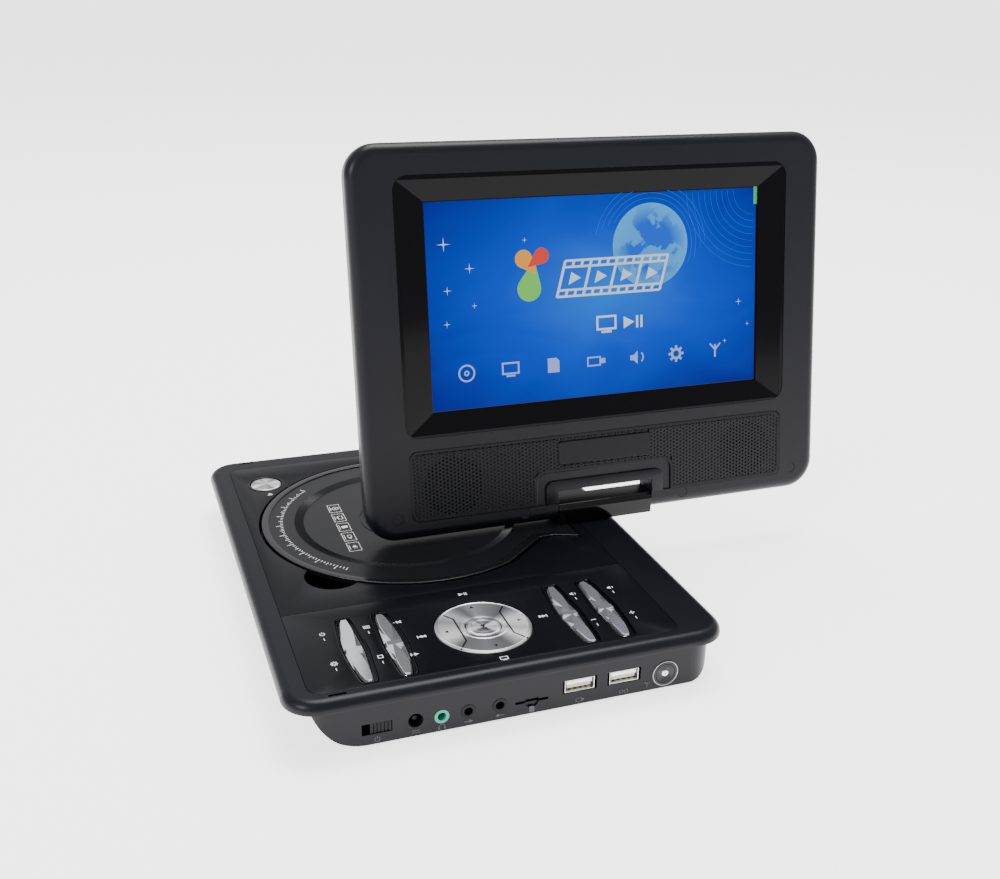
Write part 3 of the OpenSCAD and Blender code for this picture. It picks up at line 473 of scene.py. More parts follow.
def frame_box(x, y, w, h, line):
    sides = bar(x, y - h / 2, w + line, line) + bar(x, y + h / 2, w + line, line)
    return sides + bar(x - w / 2, y, line, h - line) + bar(x + w / 2, y, line, h - line)


def triangle(x, y, size, turn=0.0):
    """An arrowhead that points along +X, turned by degrees."""
    corners = [(0.6, 0), (-0.4, 0.52), (-0.4, -0.52)]
    c, s = math.cos(math.radians(turn)), math.sin(math.radians(turn))
    return [[(x + size * (c * a - s * b), y + size * (s * a + c * b)) for a, b in corners]]


def moved(shapes, x, y, turn=0.0, scale=1.0):
    """The same shapes, turned and set down elsewhere."""
    c, s = math.cos(math.radians(turn)), math.sin(math.radians(turn))
    return [[(x + scale * (c * a - s * b), y + scale * (s * a + c * b)) for a, b in shape]
            for shape in shapes]


def prisms(name, shapes, height, matrix):
    """Thin closed prisms on the flat shapes, which are in millimetres."""
    vertices, faces = [], []
    for shape in shapes:
        area = sum(a[0] * b[1] - b[0] * a[1] for a, b in zip(shape, shape[1:] + shape[:1]))
        corners = list(shape) if area > 0 else list(reversed(shape))
        n, first = len(corners), len(vertices)
        vertices += [(p[0] * mm, p[1] * mm, 0) for p in corners]
        vertices += [(p[0] * mm, p[1] * mm, height) for p in corners]
        faces.append(tuple(first + n + k for k in range(n)))
        faces.append(tuple(first + n - 1 - k for k in range(n)))
        for k in range(n):
            faces.append((first + k, first + (k + 1) % n, first + n + (k + 1) % n,
                          first + n + k))
    return mesh_from(name, vertices, faces, matrix)


def at(x, y, z):
    return Matrix.Translation((x, y, z))


def printed(name, shapes, height, matrix, material, body, slot, *replaced):
    """A thin piece made of flat shapes, carried to its place by the matrix."""
    mesh = prisms(name, shapes, height, matrix)
    return add_piece(name, mesh, material, body, slot, *replaced)


def profile_from(r, z, steps):
    """Lathe points from steps in mm, counted outwards from r and upwards from z."""
    return [(r + outwards * mm, z + upwards * mm) for outwards, upwards in steps]


# %% Outlines


def smoothed(points, rounds=2, share=0.25):
    """Cuts the corners of a closed outline, each round making it smoother."""
    for _ in range(rounds):
        cut = []
        for a, b in zip(points, points[1:] + points[:1]):
            cut.append((a[0] + share * (b[0] - a[0]), a[1] + share * (b[1] - a[1])))
            cut.append((b[0] + share * (a[0] - b[0]), b[1] + share * (a[1] - b[1])))
        points = cut
    return points


def inset(points, amount):
    """A closed outline moved inwards, for an outline that runs anticlockwise."""
    moved_in = []
    for before, here, after in zip(points[-1:] + points[:-1], points, points[1:] + points[:1]):
        a = (Vector(here) - Vector(before)).normalized()
        b = (Vector(after) - Vector(here)).normalized()
        normal = Vector((-a.y - b.y, a.x + b.x))
        if normal.length < 1e-9:
            normal = Vector((-a.y, a.x))
        normal.normalize()
        reach = amount / max(0.5, normal.dot(Vector((-a.y, a.x))))
        moved_in.append((here[0] + normal.x * reach, here[1] + normal.y * reach))
    return moved_in


def loft(name, rings, closed=True, matrix=None, smooth=True):
    """Joins outlines of equal count, each given as (points in mm, height in mm)."""
    count = len(rings[0][0])
    vertices = [(x * mm, y * mm, z * mm) for points, z in rings for x, y in points]
    faces = []
    for row in range(len(rings) - (0 if closed else 1)):
        low, high = row * count, ((row + 1) % len(rings)) * count
        for k in range(count):
            after = (k + 1) % count
            faces.append((low + k, low + after, high + after, high + k))
    return mesh_from(name, vertices, faces, matrix, smooth)


def rounded_rectangle(x0, x1, y0, y1, r, count=6):
    """Corner points of a rounded rectangle, anticlockwise, in the units given."""
    points = []
    for cx, cy, start in ((x1 - r, y0 + r, -90), (x1 - r, y1 - r, 0), (x0 + r, y1 - r, 90),
                          (x0 + r, y0 + r, 180)):
        points += circle_points(cx, cy, r, count, start, start + 90)
    return points


# %% [markdown]
# ## The lit screen
# The player shows its start screen: a blue field that glows in the middle, a pale globe,
# faint orbit lines and sparkles. The field is a shader on a flat sheet, painted from the
# sheet's own UV map. The globe, sparkles and signs are thin glowing shapes in front of it.
# The words that such a screen carries are left out, and plain pictograms stand for them.

# %% Blue field
screen_low, screen_high = flat_box("lcd_panel")
glass = screen_high.z
screen_margin = 3 * mm
screen_x0, screen_x1 = screen_low.x + screen_margin, screen_high.x - screen_margin
screen_y0, screen_y1 = screen_low.y + screen_margin, screen_high.y - screen_margin
screen_w, screen_h = screen_x1 - screen_x0, screen_y1 - screen_y0


def glow_material(name, color, strength=1.0):
    """A plain part of the lit screen."""
    material = principled(name, (0, 0, 0), Roughness=0.4, Specular_IOR_Level=0.04)
    shader = material.node_tree.nodes["Principled BSDF"]
    shader.inputs["Emission Color"].default_value = (*color, 1)
    shader.inputs["Emission Strength"].default_value = strength
    return material


def blue_field_material():
    """Deep blue at the edges, bright in the middle, with faint swirls."""
    material = glow_material("blue_field", (0, 0, 1), 1.0)
    tree = material.node_tree
    uv = node(tree, "ShaderNodeUVMap", uv_map="picture")
    centre = node(tree, "ShaderNodeMapping",
                  {"Location": (-0.52, -0.48, 0), "Scale": (1.0, 0.9, 1)})
    distance = node(tree, "ShaderNodeVectorMath", operation="LENGTH")
    swirl = node(tree, "ShaderNodeTexNoise", {"Scale": 2.2, "Detail": 3, "Distortion": 1.2})
    mixed = node(tree, "ShaderNodeMath", {1: 0.35}, operation="MULTIPLY_ADD")
    ramp = color_ramp(tree, (0.12, (0.012, 0.22, 1.0)), (0.85, (0.0005, 0.012, 0.30)),
                      (0.45, (0.002, 0.075, 0.72)))
    # such a panel is bright only from the front, so its mirror images are kept dim
    rays = node(tree, "ShaderNodeLightPath")
    seen = node(tree, "ShaderNodeMix", {"B": (0.004, 0.006, 0.012, 1)}, data_type="RGBA")
    shader = tree.nodes["Principled BSDF"]
    wire(tree, (uv, "UV", centre, "Vector"), (centre, "Vector", distance, 0),
         (uv, "UV", swirl, "Vector"), (swirl, "Fac", mixed, 0), (distance, "Value", mixed, 2),
         (mixed, 0, ramp, "Fac"), (rays, "Is Glossy Ray", seen, "Factor"),
         (ramp, "Color", seen, "A"), (seen, "Result", shader, "Emission Color"))
    return material


def make_screen():
    lift = glass + 0.05 * mm
    corners = [(screen_x0, screen_y0), (screen_x1, screen_y0), (screen_x1, screen_y1),
               (screen_x0, screen_y1)]
    mesh = mesh_from("screen_field", [(x, y, lift) for x, y in corners], [(0, 1, 2, 3)],
                     on_display)
    uv = mesh.uv_layers.new(name="picture")
    for loop, place in zip(uv.data, ((0, 0), (1, 0), (1, 1), (0, 1))):
        loop.uv = place
    add_piece("screen_field", mesh, blue_field_material(), "display_body", "screen")


make_screen()

# %% Globe, sparkles and signs
sky_blue = glow_material("picture_sky_blue", (0.03, 0.20, 0.95), 1.0)
white_glow = glow_material("picture_white", (0.78, 0.86, 1.0), 1.0)
lilac_glow = glow_material("picture_lilac", (0.40, 0.48, 0.95), 1.0)
amber_glow = glow_material("picture_amber", (1.0, 0.42, 0.05), 1.0)
lime_glow = glow_material("picture_lime", (0.20, 0.72, 0.12), 1.0)
coral_glow = glow_material("picture_coral", (0.85, 0.07, 0.05), 1.0)


def on_screen(x, y):
    """A place on the screen, from shares of its width and height, in mm."""
    return (screen_x0 + x * screen_w) / mm, (screen_y0 + y * screen_h) / mm


def picture_piece(name, shapes, material, layer):
    """Thin shapes in front of the field; a higher layer covers a lower one."""
    base = glass + (0.06 + 0.03 * layer) * mm
    printed(name, shapes, 0.02 * mm, on_display @ at(0, 0, base), material, "display_body",
            "screen")


def sparkle(x, y, size):
    """A star with four long thin points."""
    points = []
    for k in range(8):
        reach = size if k % 2 == 0 else size * 0.12
        turn = math.radians(45 * k)
        points.append((x + reach * math.cos(turn), y + reach * math.sin(turn)))
    return [points]


globe_x, globe_y = on_screen(0.66, 0.74)
globe_r = 20


def globe_material():
    """Pale land on a blue sea, brighter towards the rim, painted from the disc's own map."""
    material = glow_material("globe_glow", (0, 0, 1), 1.0)
    tree = material.node_tree
    uv = node(tree, "ShaderNodeUVMap", uv_map="picture")
    land = node(tree, "ShaderNodeTexNoise", {"Scale": 1.35, "Detail": 9, "Roughness": 0.55})
    coast = color_ramp(tree, (0.50, (0.006, 0.13, 0.85)), (0.53, (0.07, 0.40, 1.0)))
    reach = node(tree, "ShaderNodeVectorMath", operation="LENGTH")
    glow = node(tree, "ShaderNodeMapRange", {"From Min": 0.55, "From Max": 1.05})
    lit = node(tree, "ShaderNodeMix", {"B": (0.10, 0.48, 1.0, 1)}, data_type="RGBA")
    shader = tree.nodes["Principled BSDF"]
    wire(tree, (uv, "UV", land, "Vector"), (land, "Fac", coast, "Fac"), (uv, "UV", reach, 0),
         (reach, "Value", glow, "Value"), (glow, "Result", lit, "Factor"),
         (coast, "Color", lit, "A"), (lit, "Result", shader, "Emission Color"))
    return material


def make_globe():
    base = glass + 0.07 * mm
    outline = disc(globe_x, globe_y, globe_r, 64)[0]
    vertices = [(x * mm, y * mm, base) for x, y in outline]
    mesh = mesh_from("screen_globe", vertices, [tuple(range(len(vertices)))], on_display)
    uv = mesh.uv_layers.new(name="picture")
    for loop, (x, y) in zip(uv.data, outline):
        loop.uv = ((x - globe_x) / globe_r, (y - globe_y) / globe_r)
    add_piece("screen_globe", mesh, globe_material(), "display_body", "screen")


make_globe()
orbits = []
for k in range(4):
    orbits += ring(globe_x, globe_y, globe_r + 2.2 + 2.4 * k, 0.16, 60, -25 + 9 * k, 150 + 6 * k)
for k in range(9):
    sweep_x, sweep_y = on_screen(0.995, 0.99)
    orbits += ring(sweep_x, sweep_y, 12 + 3.2 * k, 0.13, 40, 180, 268)
picture_piece("screen_orbits", orbits, sky_blue, 1)

sparkle_places = [(0.05, 0.80, 3.4), (0.12, 0.68, 2.6), (0.055, 0.58, 2.2), (0.13, 0.50, 1.5),
                  (0.05, 0.42, 1.8), (0.28, 0.80, 1.4), (0.945, 0.42, 1.9), (0.90, 0.22, 1.3),
                  (0.975, 0.30, 1.2)]
stars = []
for x, y, size in sparkle_places:
    stars += sparkle(*on_screen(x, y), size)
picture_piece("screen_sparkles", stars, white_glow, 2)


def drop(x, y, size, turn):
    """A drop whose tip points along the given direction, in degrees."""
    points = circle_points(0, 0, 0.5, 14, 60, 300) + [(1.15, 0.0)]
    return moved([points], x, y, turn, size)


def film_strip(x, y, frames, size, slant):
    """A slanted strip of film: two perforated edges and a window for each frame."""
    shapes = []
    length = frames * size
    for row in (0.62, -0.62, 0.40, -0.40):
        shapes += bar(x + length / 2, y + size * row, length, size * 0.08)
    for k in range(frames * 3 + 1):
        for row in (-0.51, 0.51):
            shapes += bar(x + k * size / 3, y + size * row, size * 0.1, size * 0.24)
    for k in range(frames + 1):
        shapes += bar(x + k * size, y, size * 0.1, size * 0.8)
    for k in range(frames):
        shapes += triangle(x + (k + 0.5) * size, y, size * 0.42)
    return [[(a + slant * (b - y), b) for a, b in shape] for shape in shapes]


def start_picture():
    """Three coloured drops and a strip of film: plain signs for a player."""
    x, y = on_screen(0.29, 0.60)
    picture_piece("screen_drop_lime", drop(x, y - 3.5, 12, 78), lime_glow, 3)
    picture_piece("screen_drop_amber", drop(x - 2.5, y + 10.5, 8.5, -50), amber_glow, 4)
    picture_piece("screen_drop_coral", drop(x + 6.5, y + 11.5, 7.5, 215), coral_glow, 5)
    x, y = on_screen(0.385, 0.60)
    picture_piece("screen_film", film_strip(x, y, 4, 13.5, 0.28), white_glow, 3)


start_picture()

# %% [markdown]
# ## The speaker grille
# Below the screen the real front is a sheet of fine round holes in staggered rows, which
# wraps round a plain raised plate and ends at the hinge. Thousands of holes cut one by one
# would be slow, so a small tree of nodes lays a unit cell again and again: each cell is a
# little square of sheet with an eight-sided hole in it, and alternate columns are set half a
# step lower. The holes go right through over the two speakers, and are dimples elsewhere.
# Neighbouring cells share their edges and are merged, so that the sheet is one surface.
# The cells that would fall on the plate or on the hinge's cut-out are left out.

# %% A small kit for Geometry Nodes


def new_tree(name, inputs):
    """A geometry node tree with named inputs, given as (name, kind, value)."""
    tree = bpy.data.node_groups.new(name, "GeometryNodeTree")
    tree.interface.new_socket("Geometry", in_out="INPUT", socket_type="NodeSocketGeometry")
    for label, kind, value in inputs:
        socket = tree.interface.new_socket(label, in_out="INPUT",
                                           socket_type=f"NodeSocket{kind}")
        if value is not None:
            socket.default_value = value
    tree.interface.new_socket("Geometry", in_out="OUTPUT", socket_type="NodeSocketGeometry")
    return tree, node(tree, "NodeGroupInput"), node(tree, "NodeGroupOutput")


def run_tree(tree, mesh, **values):
    """Evaluates a tree on a mesh once and returns the result as a plain mesh."""
    carrier = bpy.data.objects.new(tree.name, mesh)
    bpy.context.scene.collection.objects.link(carrier)
    modifier = carrier.modifiers.new("Nodes", "NODES")
    modifier.node_group = tree
    for item in tree.interface.items_tree:
        label = item.name.replace(" ", "_")
        if item.item_type == "SOCKET" and item.in_out == "INPUT" and label in values:
            modifier[item.identifier] = values[label]
    graph = bpy.context.evaluated_depsgraph_get()
    result = bpy.data.meshes.new_from_object(carrier.evaluated_get(graph))
    carrier.modifiers.clear()
    bpy.data.objects.remove(carrier)
    return result


# %% Unit cells of the sheet
grille_low, grille_high = flat_box("grille_panel")
hole_pitch = 1.8 * mm
hole_r = 0.56 * mm
sheet_top = grille_high.z
sheet_depth = 0.7 * mm


def unit_cell(name, open_hole):
    """One square of sheet with an eight-sided hole, or with a dimple that has a floor."""
    half = hole_pitch / 2
    rim = [(half, 0), (half, half), (0, half), (-half, half), (-half, 0), (-half, -half),
           (0, -half), (half, -half)]
    hole = [(hole_r * math.cos(math.radians(45 * k)), hole_r * math.sin(math.radians(45 * k)))
            for k in range(8)]
    deep = -sheet_depth if open_hole else -0.62 * sheet_depth
    vertices = [(x, y, 0) for x, y in rim + hole] + [(x, y, deep) for x, y in hole]
    faces = []
    for k in range(8):
        after = (k + 1) % 8
        faces.append((k, after, 8 + after, 8 + k))
        faces.append((8 + k, 8 + after, 16 + after, 16 + k))
    if open_hole:
        vertices += [(x, y, deep) for x, y in rim]
        for k in range(8):
            after = (k + 1) % 8
            faces.append((16 + k, 16 + after, 24 + after, 24 + k))
    else:
        faces.append(tuple(range(16, 24)))
    cell = bpy.data.objects.new(name, mesh_from(name, vertices, faces))
    return cell


# %% The tree that lays the cells


def perforation_tree(cell_open, cell_closed, finish):
    """Cells on every point, open ones inside the named radius of either speaker."""
    tree, given, out = new_tree("perforation", [
        ("Speaker Place", "Vector", (0.078, 0.018, 0)), ("Speaker Radius", "Float", 0.0145),
        ("Merge Distance", "Float", 0.00002)])
    place = node(tree, "GeometryNodeInputPosition")
    mirrored = node(tree, "ShaderNodeVectorMath", operation="ABSOLUTE")
    away = node(tree, "ShaderNodeVectorMath", operation="DISTANCE")
    near = node(tree, "FunctionNodeCompare", data_type="FLOAT", operation="LESS_THAN")
    far = node(tree, "FunctionNodeBooleanMath", operation="NOT")
    join = node(tree, "GeometryNodeJoinGeometry")
    for cell, chosen in ((cell_open, near), (cell_closed, far)):
        source = node(tree, "GeometryNodeObjectInfo", {"Object": cell})
        lay = node(tree, "GeometryNodeInstanceOnPoints")
        wire(tree, (given, "Geometry", lay, "Points"), (source, "Geometry", lay, "Instance"),
             (chosen, 0, lay, "Selection"), (lay, "Instances", join, "Geometry"))
    real = node(tree, "GeometryNodeRealizeInstances")
    merge = node(tree, "GeometryNodeMergeByDistance")
    paint = node(tree, "GeometryNodeSetMaterial", {"Material": finish})
    wire(tree, (place, "Position", mirrored, 0), (mirrored, 0, away, 0),
         (given, "Speaker Place", away, 1), (away, "Value", near, 0),
         (given, "Speaker Radius", near, 1), (near, "Result", far, 0),
         (join, "Geometry", real, "Geometry"), (real, "Geometry", merge, "Geometry"),
         (given, "Merge Distance", merge, "Distance"), (merge, "Geometry", paint, "Geometry"),
         (paint, "Geometry", out, "Geometry"))
    return tree


# %% Lay the sheet
grille_w = grille_high.x - grille_low.x
badge = (24.6 * mm, 21.8 * mm, 33.3 * mm)
cutout = (36.0 * mm, 18.3 * mm)
cell_gap = 0.6 * mm


def cell_places():
    """Cell centres in staggered columns, without the badge and the hinge's cut-out."""
    columns = int((grille_w / 2 - 1.2 * mm) / hole_pitch)
    places = []
    for i in range(-columns, columns + 1):
        lift = hole_pitch / 2 if i % 2 else 0.0
        for j in range(40):
            x = i * hole_pitch
            y = grille_low.y + 1.4 * mm + j * hole_pitch + lift
            if y > grille_high.y - 1.4 * mm:
                break
            on_badge = (abs(x) < badge[0] + cell_gap
                        and badge[1] - cell_gap < y < badge[2] + cell_gap)
            in_cutout = abs(x) < cutout[0] + cell_gap and y < cutout[1] + cell_gap
            if not on_badge and not in_cutout:
                places.append((x, y, 0))
    return places


def make_grille():
    cells = unit_cell("open_cell", True), unit_cell("closed_cell", False)
    tree = perforation_tree(*cells, grille_finish)
    points = mesh_from("grille_points", cell_places(), [])
    sheet = run_tree(tree, points)
    sheet.transform(on_display @ at(0, 0, sheet_top))
    for cell in cells:
        bpy.data.objects.remove(cell)
    add_piece("grille_sheet", sheet, None, "display_body", "deck_black", "grille_panel")
    print("holes in the grille", len(points.vertices), "faces", len(sheet.polygons))


make_grille()

# %% The border of the sheet, the backing and the plain badge


def display_piece(name, mesh, finish, slot, *replaced):
    mesh.transform(on_display)
    return add_piece(name, mesh, finish, "display_body", slot, *replaced)


def grille_outline():
    x1, y0, y1 = grille_high.x / mm, grille_low.y / mm, grille_high.y / mm
    notch_x, notch_y = cutout[0] / mm, cutout[1] / mm
    r = 4.5
    corners = [(notch_x, y0)]
    corners += rounded_rectangle(-x1, x1, y0, y1, r, 5)
    corners += [(-notch_x, y0)]
    corners += circle_points(-notch_x + r, notch_y - r, r, 5, 180, 90)
    corners += circle_points(notch_x - r, notch_y - r, r, 5, 90, 0)
    return corners


def make_grille_border():
    outline = grille_outline()
    top = sheet_top / mm
    rings = [(outline, top - 1.2), (outline, top + 0.02), (inset(outline, 0.25), top + 0.12),
             (inset(outline, 1.5), top + 0.12), (inset(outline, 1.7), top - 0.05),
             (inset(outline, 1.7), top - 1.2)]
    mesh = tidy_mesh(loft("grille_border", rings, smooth=False))
    display_piece("grille_border", mesh, deck_finish, "deck_black", "grille_panel")
    backing = prisms("grille_backing", [bar(-67.5, 19.6, 60, 31)[0], bar(67.5, 19.6, 60, 31)[0]],
                     0.1 * mm, at(0, 0, sheet_top - 1.0 * mm))
    display_piece("grille_backing", backing, port_finish, "port_black", "grille_panel")


def make_badge():
    """A plain raised plate where a maker would print a name."""
    low, high = badge[1] / mm, badge[2] / mm
    wide = badge[0] / mm
    outline = rounded_rectangle(-wide, wide, low, high, 1.5, 4)
    top = sheet_top / mm
    rings = [(outline, top - 1.0), (outline, top + 0.15), (inset(outline, 0.35), top + 0.4)]
    mesh = loft("badge_plate", rings, closed=False, smooth=False)
    with editing(mesh) as work:
        bmesh.ops.holes_fill(work, edges=work.edges)
        bmesh.ops.recalc_face_normals(work, faces=work.faces)
    display_piece("badge_plate", mesh, deck_finish, "deck_black", "grille_panel")


make_grille_border()
make_badge()

# %% [markdown]
# ## The rocker keys
# Each key is one plated moulding that tips either way. Its plan is a long hexagon that
# bulges to one side. The top is cut like a gem: two flat pads narrow towards the middle,
# where a thin waist is left, and the sloping facets on either side of the waist make the
# pads read as an X. Cross-sections at a few stations along the key give that shape
# directly, and a small bevel on every crease gives the highlights of a real plated part.

# %% Faceted key
key_outer_share = 0.59
key_sides = ((1, -1), (2, 1), (3, -1), (4, 1))


def faceted_key(name, side):
    """A key in its place, from cross-sections along its length."""
    low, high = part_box(name)
    middle = (low + high) / 2
    half = (high.x - low.x) / 2
    width = high.y - low.y
    out_y = high.y if side > 0 else low.y
    axis_y = out_y - side * width * key_outer_share
    floor_z, top_z = high.z - 2.2 * mm, high.z
    stations = [(-1.0, 1.0), (-0.985, 1.0), (-0.93, 1.0), (-0.8, 1.0), (-0.58, 1.0),
                (-0.4, 0.68), (-0.22, 0.38), (-0.07, 0.14), (-0.055, 1.0)]
    stations += [(-share, waist) for share, waist in reversed(stations)]
    vertices, rows = [], []
    for share, waist in stations:
        round_off = {1.0: 0.62, 0.985: 0.8, 0.93: 0.95}.get(abs(share), 1.0)
        reach_out = width * (0.26 + 0.33 * (1 - share * share)) * round_off
        reach_in = width * (0.24 + 0.17 * (1 - abs(share))) * round_off
        x = middle.x + half * share
        end = abs(share) == 1.0
        crown = top_z - (0.75 * mm if end else 0)
        lower = top_z - (0.75 * mm if end else 0.14 * mm if waist == 1 else 1.1 * mm)
        lip = 0.55 * mm
        section = []
        for reach, way in ((reach_in, -side), (reach_out, side)):
            edge = axis_y + way * reach
            shoulder = axis_y + way * (reach - lip)
            ridge = axis_y + way * (reach - lip) * waist * (0.93 if waist == 1 else 1)
            column = [(x, edge, floor_z), (x, edge, top_z - 1.3 * mm), (x, shoulder, lower),
                      (x, ridge, crown)]
            section.append(column)
        points = section[0] + list(reversed(section[1]))
        rows.append(list(range(len(vertices), len(vertices) + len(points))))
        vertices += points
    faces = []
    for a, b in zip(rows, rows[1:]):
        for k in range(len(a)):
            after = (k + 1) % len(a)
            faces.append((a[k], a[after], b[after], b[k]))
    faces.append(tuple(rows[0]))
    faces.append(tuple(rows[-1]))
    mesh = mesh_from(name + "_faceted", vertices, faces)
    tidy_mesh(mesh)
    with editing(mesh) as work:
        round_edges(work, 0.1 * mm, 1, 14)
    shade(mesh, False)
    return mesh


for number, side in key_sides:
    key_name = f"rocker_key_{number}"
    piece = add_piece(f"key_{number}_faceted", faceted_key(key_name, side), plated,
                      f"rocker_{number}_body", "silver_key", key_name)
    print(key_name, "faces", len(piece.data.polygons))

# %% [markdown]
# ## The navigation plate
# A lathe leaves fine circles on the plate, and they smear every light into a bright fan
# from the centre to the rim. Two things carry that look: a map that runs round the plate
# turns the shader's stretched highlight along the circles, and a painted highlight, a soft
# fan of lighter and darker sectors painted into the colour, stands in for that fan where a
# viewer has no such highlight. The rim has a polished bevel, and thin dark lines laid on
# the plate mark the four directions.

# %% Turned metal


def turned_metal_painted_fan(name, centre_x, centre_y):
    material = principled(name, (0.8, 0.81, 0.83), Metallic=0.85, Roughness=0.3,
                          Anisotropic=0.75)
    tree = material.node_tree
    shader = tree.nodes["Principled BSDF"]
    place = node(tree, "ShaderNodeTexCoord")
    centred = node(tree, "ShaderNodeMapping", {"Location": (-centre_x, -centre_y, 0)})
    fan = node(tree, "ShaderNodeTexGradient", gradient_type="RADIAL")
    # the lighter and darker sectors are painted highlight and shade: a fixed fan in the colour
    # that stands in for the plate's radial highlight
    painted_highlight_levels = [(0.05, 0.40), (0.11, 0.98), (0.17, 0.34), (0.24, 0.55), (0.30, 1.0), (0.36, 0.38),
              (0.46, 0.62), (0.55, 0.30), (0.63, 1.0), (0.69, 0.42), (0.79, 0.98), (0.86, 0.32)]
    painted_highlight_sectors = [(position, (shade, shade, shade * 1.02)) for position, shade in painted_highlight_levels]
    ramp = color_ramp(tree, (0.0, (0.95, 0.95, 0.97)), (1.0, (0.95, 0.95, 0.97)), *painted_highlight_sectors)
    reach = node(tree, "ShaderNodeVectorMath", operation="LENGTH")
    flat = node(tree, "ShaderNodeVectorMath", {1: (1, 1, 0)}, operation="MULTIPLY")
    rings = node(tree, "ShaderNodeTexNoise", {"Scale": 9000}, noise_dimensions="1D")
    height = node(tree, "ShaderNodeMath", {1: 0.000012}, operation="MULTIPLY")
    bump = node(tree, "ShaderNodeBump", {"Distance": 1.0})
    tangent = node(tree, "ShaderNodeTangent", direction_type="UV_MAP", uv_map="turning")
    wire(tree, (place, "Object", centred, "Vector"), (centred, "Vector", fan, "Vector"),
         (fan, "Fac", ramp, "Fac"), (ramp, "Color", shader, "Base Color"),
         (centred, "Vector", flat, 0), (flat, 0, reach, 0), (reach, "Value", rings, "W"),
         (rings, "Fac", height, 0), (height, 0, bump, "Height"),
         (bump, "Normal", shader, "Normal"), (tangent, "Tangent", shader, "Tangent"))
    return material


def turning_map(mesh, centre):
    """A map whose first axis runs round the centre, one for every face corner."""
    uv = mesh.uv_layers.new(name="turning")
    for polygon in mesh.polygons:
        mid = math.atan2(polygon.center.y - centre.y, polygon.center.x - centre.x)
        for loop in polygon.loop_indices:
            p = mesh.vertices[mesh.loops[loop].vertex_index].co
            turn = math.atan2(p.y - centre.y, p.x - centre.x)
            turn = mid + (turn - mid + math.pi) % (2 * math.pi) - math.pi
            uv.data[loop].uv = (turn / math.pi, (p.xy - centre.xy).length / 0.02)


# %% Lathe work


def turned(name, centre, profile, count=96, smooth=True):
    """Turns a closed profile of (radius, height) points, both in metres, about the centre."""
    vertices, faces = [], []
    for k in range(count):
        a = 2 * math.pi * k / count
        vertices += [(centre.x + r * math.cos(a), centre.y + r * math.sin(a), z)
                     for r, z in profile]
    n = len(profile)
    for k in range(count):
        here, after = k * n, ((k + 1) % count) * n
        for j in range(n):
            nxt = (j + 1) % n
            faces.append((here + j, after + j, after + nxt, here + nxt))
    mesh = mesh_from(name, vertices, faces, smooth=smooth)
    return tidy_mesh(mesh, 2e-6)


def cut_away(mesh, cutter_mesh, name):
    """Subtracts a cutter from a mesh and returns the plain result."""
    body = bpy.data.objects.new(name, mesh)
    cutter = bpy.data.objects.new(name + "_cutter", cutter_mesh)
    for made in (body, cutter):
        bpy.context.scene.collection.objects.link(made)
    modifier = body.modifiers.new("cut", "BOOLEAN")
    modifier.object = cutter
    modifier.solver = "EXACT"
    graph = bpy.context.evaluated_depsgraph_get()
    result = bpy.data.meshes.new_from_object(body.evaluated_get(graph))
    bpy.data.objects.remove(body)
    bpy.data.objects.remove(cutter)
    return result


# %% The plate and its lines
plate_low, plate_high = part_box("nav_plate")
plate_centre = (plate_low + plate_high) / 2
plate_r = (plate_high.x - plate_low.x) / 2
plate_bore = 7.7 * mm
turned_silver = turned_metal_painted_fan("turned_silver", plate_centre.x, plate_centre.y)


def chevron_lines():
    """Two long lines with a leg each way, and a small arrow at each side."""
    lines = []
    for ends, width in [(((-8.8, 10.3), (8.8, 10.3)), 0.7), (((-8.8, -10.3), (8.8, -10.3)), 0.75),
                        (((8.8, -10.3), (14.6, -14.4)), 0.75),
                        (((-8.8, 10.3), (-14.6, 14.4)), 0.75), (((8.8, 10.3), (14.6, 14.4)), 0.7),
                        (((-8.8, -10.3), (-14.6, -14.4)), 0.75)]:
        lines += stroke(ends, width)
    return lines


def make_nav_plate():
    top, bottom = plate_high.z, plate_low.z
    profile = [(plate_bore, bottom), (plate_r - 0.05 * mm, bottom)]
    profile += profile_from(plate_r, top, [(0, -0.95), (-0.25, -0.5), (-1.0, -0.06), (-1.25, 0),
                                           (-1.6, -0.12)])
    profile += profile_from(plate_bore, top, [(2.4, -0.12), (2.0, 0), (0.3, -0.05), (0, -0.35)])
    mesh = turned("nav_plate_turned", plate_centre, profile, 128, smooth=False)
    add_piece("nav_plate_turned", mesh, turned_silver, "nav_plate_body", "brushed_silver",
              "nav_plate")
    turning_map(mesh, plate_centre)
    arrows = []
    for turn in (0, 90, 180, 270):
        x, y = 15.9 * math.cos(math.radians(turn)), 15.9 * math.sin(math.radians(turn))
        arrows += triangle(x, y, 1.8, turn)
    place = at(plate_centre.x, plate_centre.y, top - 0.125 * mm)
    for name, shapes in (("nav_plate_lines", chevron_lines()), ("nav_plate_arrows", arrows)):
        printed(name, shapes, 0.02 * mm, place, port_finish, "nav_plate_body", "port_black")


def make_centre_key():
    low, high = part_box("centre_key")
    r = (high.x - low.x) / 2
    profile = [(0.0, low.z), (r - 0.05 * mm, low.z)]
    profile += profile_from(r, high.z, [(0, -0.6), (-0.35, -0.15), (-0.9, -0.02), (-2.2, 0),
                                        (-2.4, -0.22), (-2.7, -0.22), (-2.9, -0.04)])
    profile += [(0.0, high.z - 0.1 * mm)]
    mesh = turned("centre_key_turned", plate_centre, profile, 72, smooth=False)
    add_piece("centre_key_turned", mesh, turned_silver, "centre_key_body", "brushed_silver",
              "centre_key")
    turning_map(mesh, plate_centre)
    mark = triangle(-0.2, 0.0, 2.2) + bar(1.7, 0, 0.35, 2.2) + bar(2.4, 0, 0.35, 2.2)
    printed("centre_key_mark", mark, 0.03 * mm,
            at(plate_centre.x, plate_centre.y, high.z - 0.06 * mm), port_finish,
            "centre_key_body", "port_black")


make_nav_plate()
make_centre_key()

# %% The domed button that opens the lid


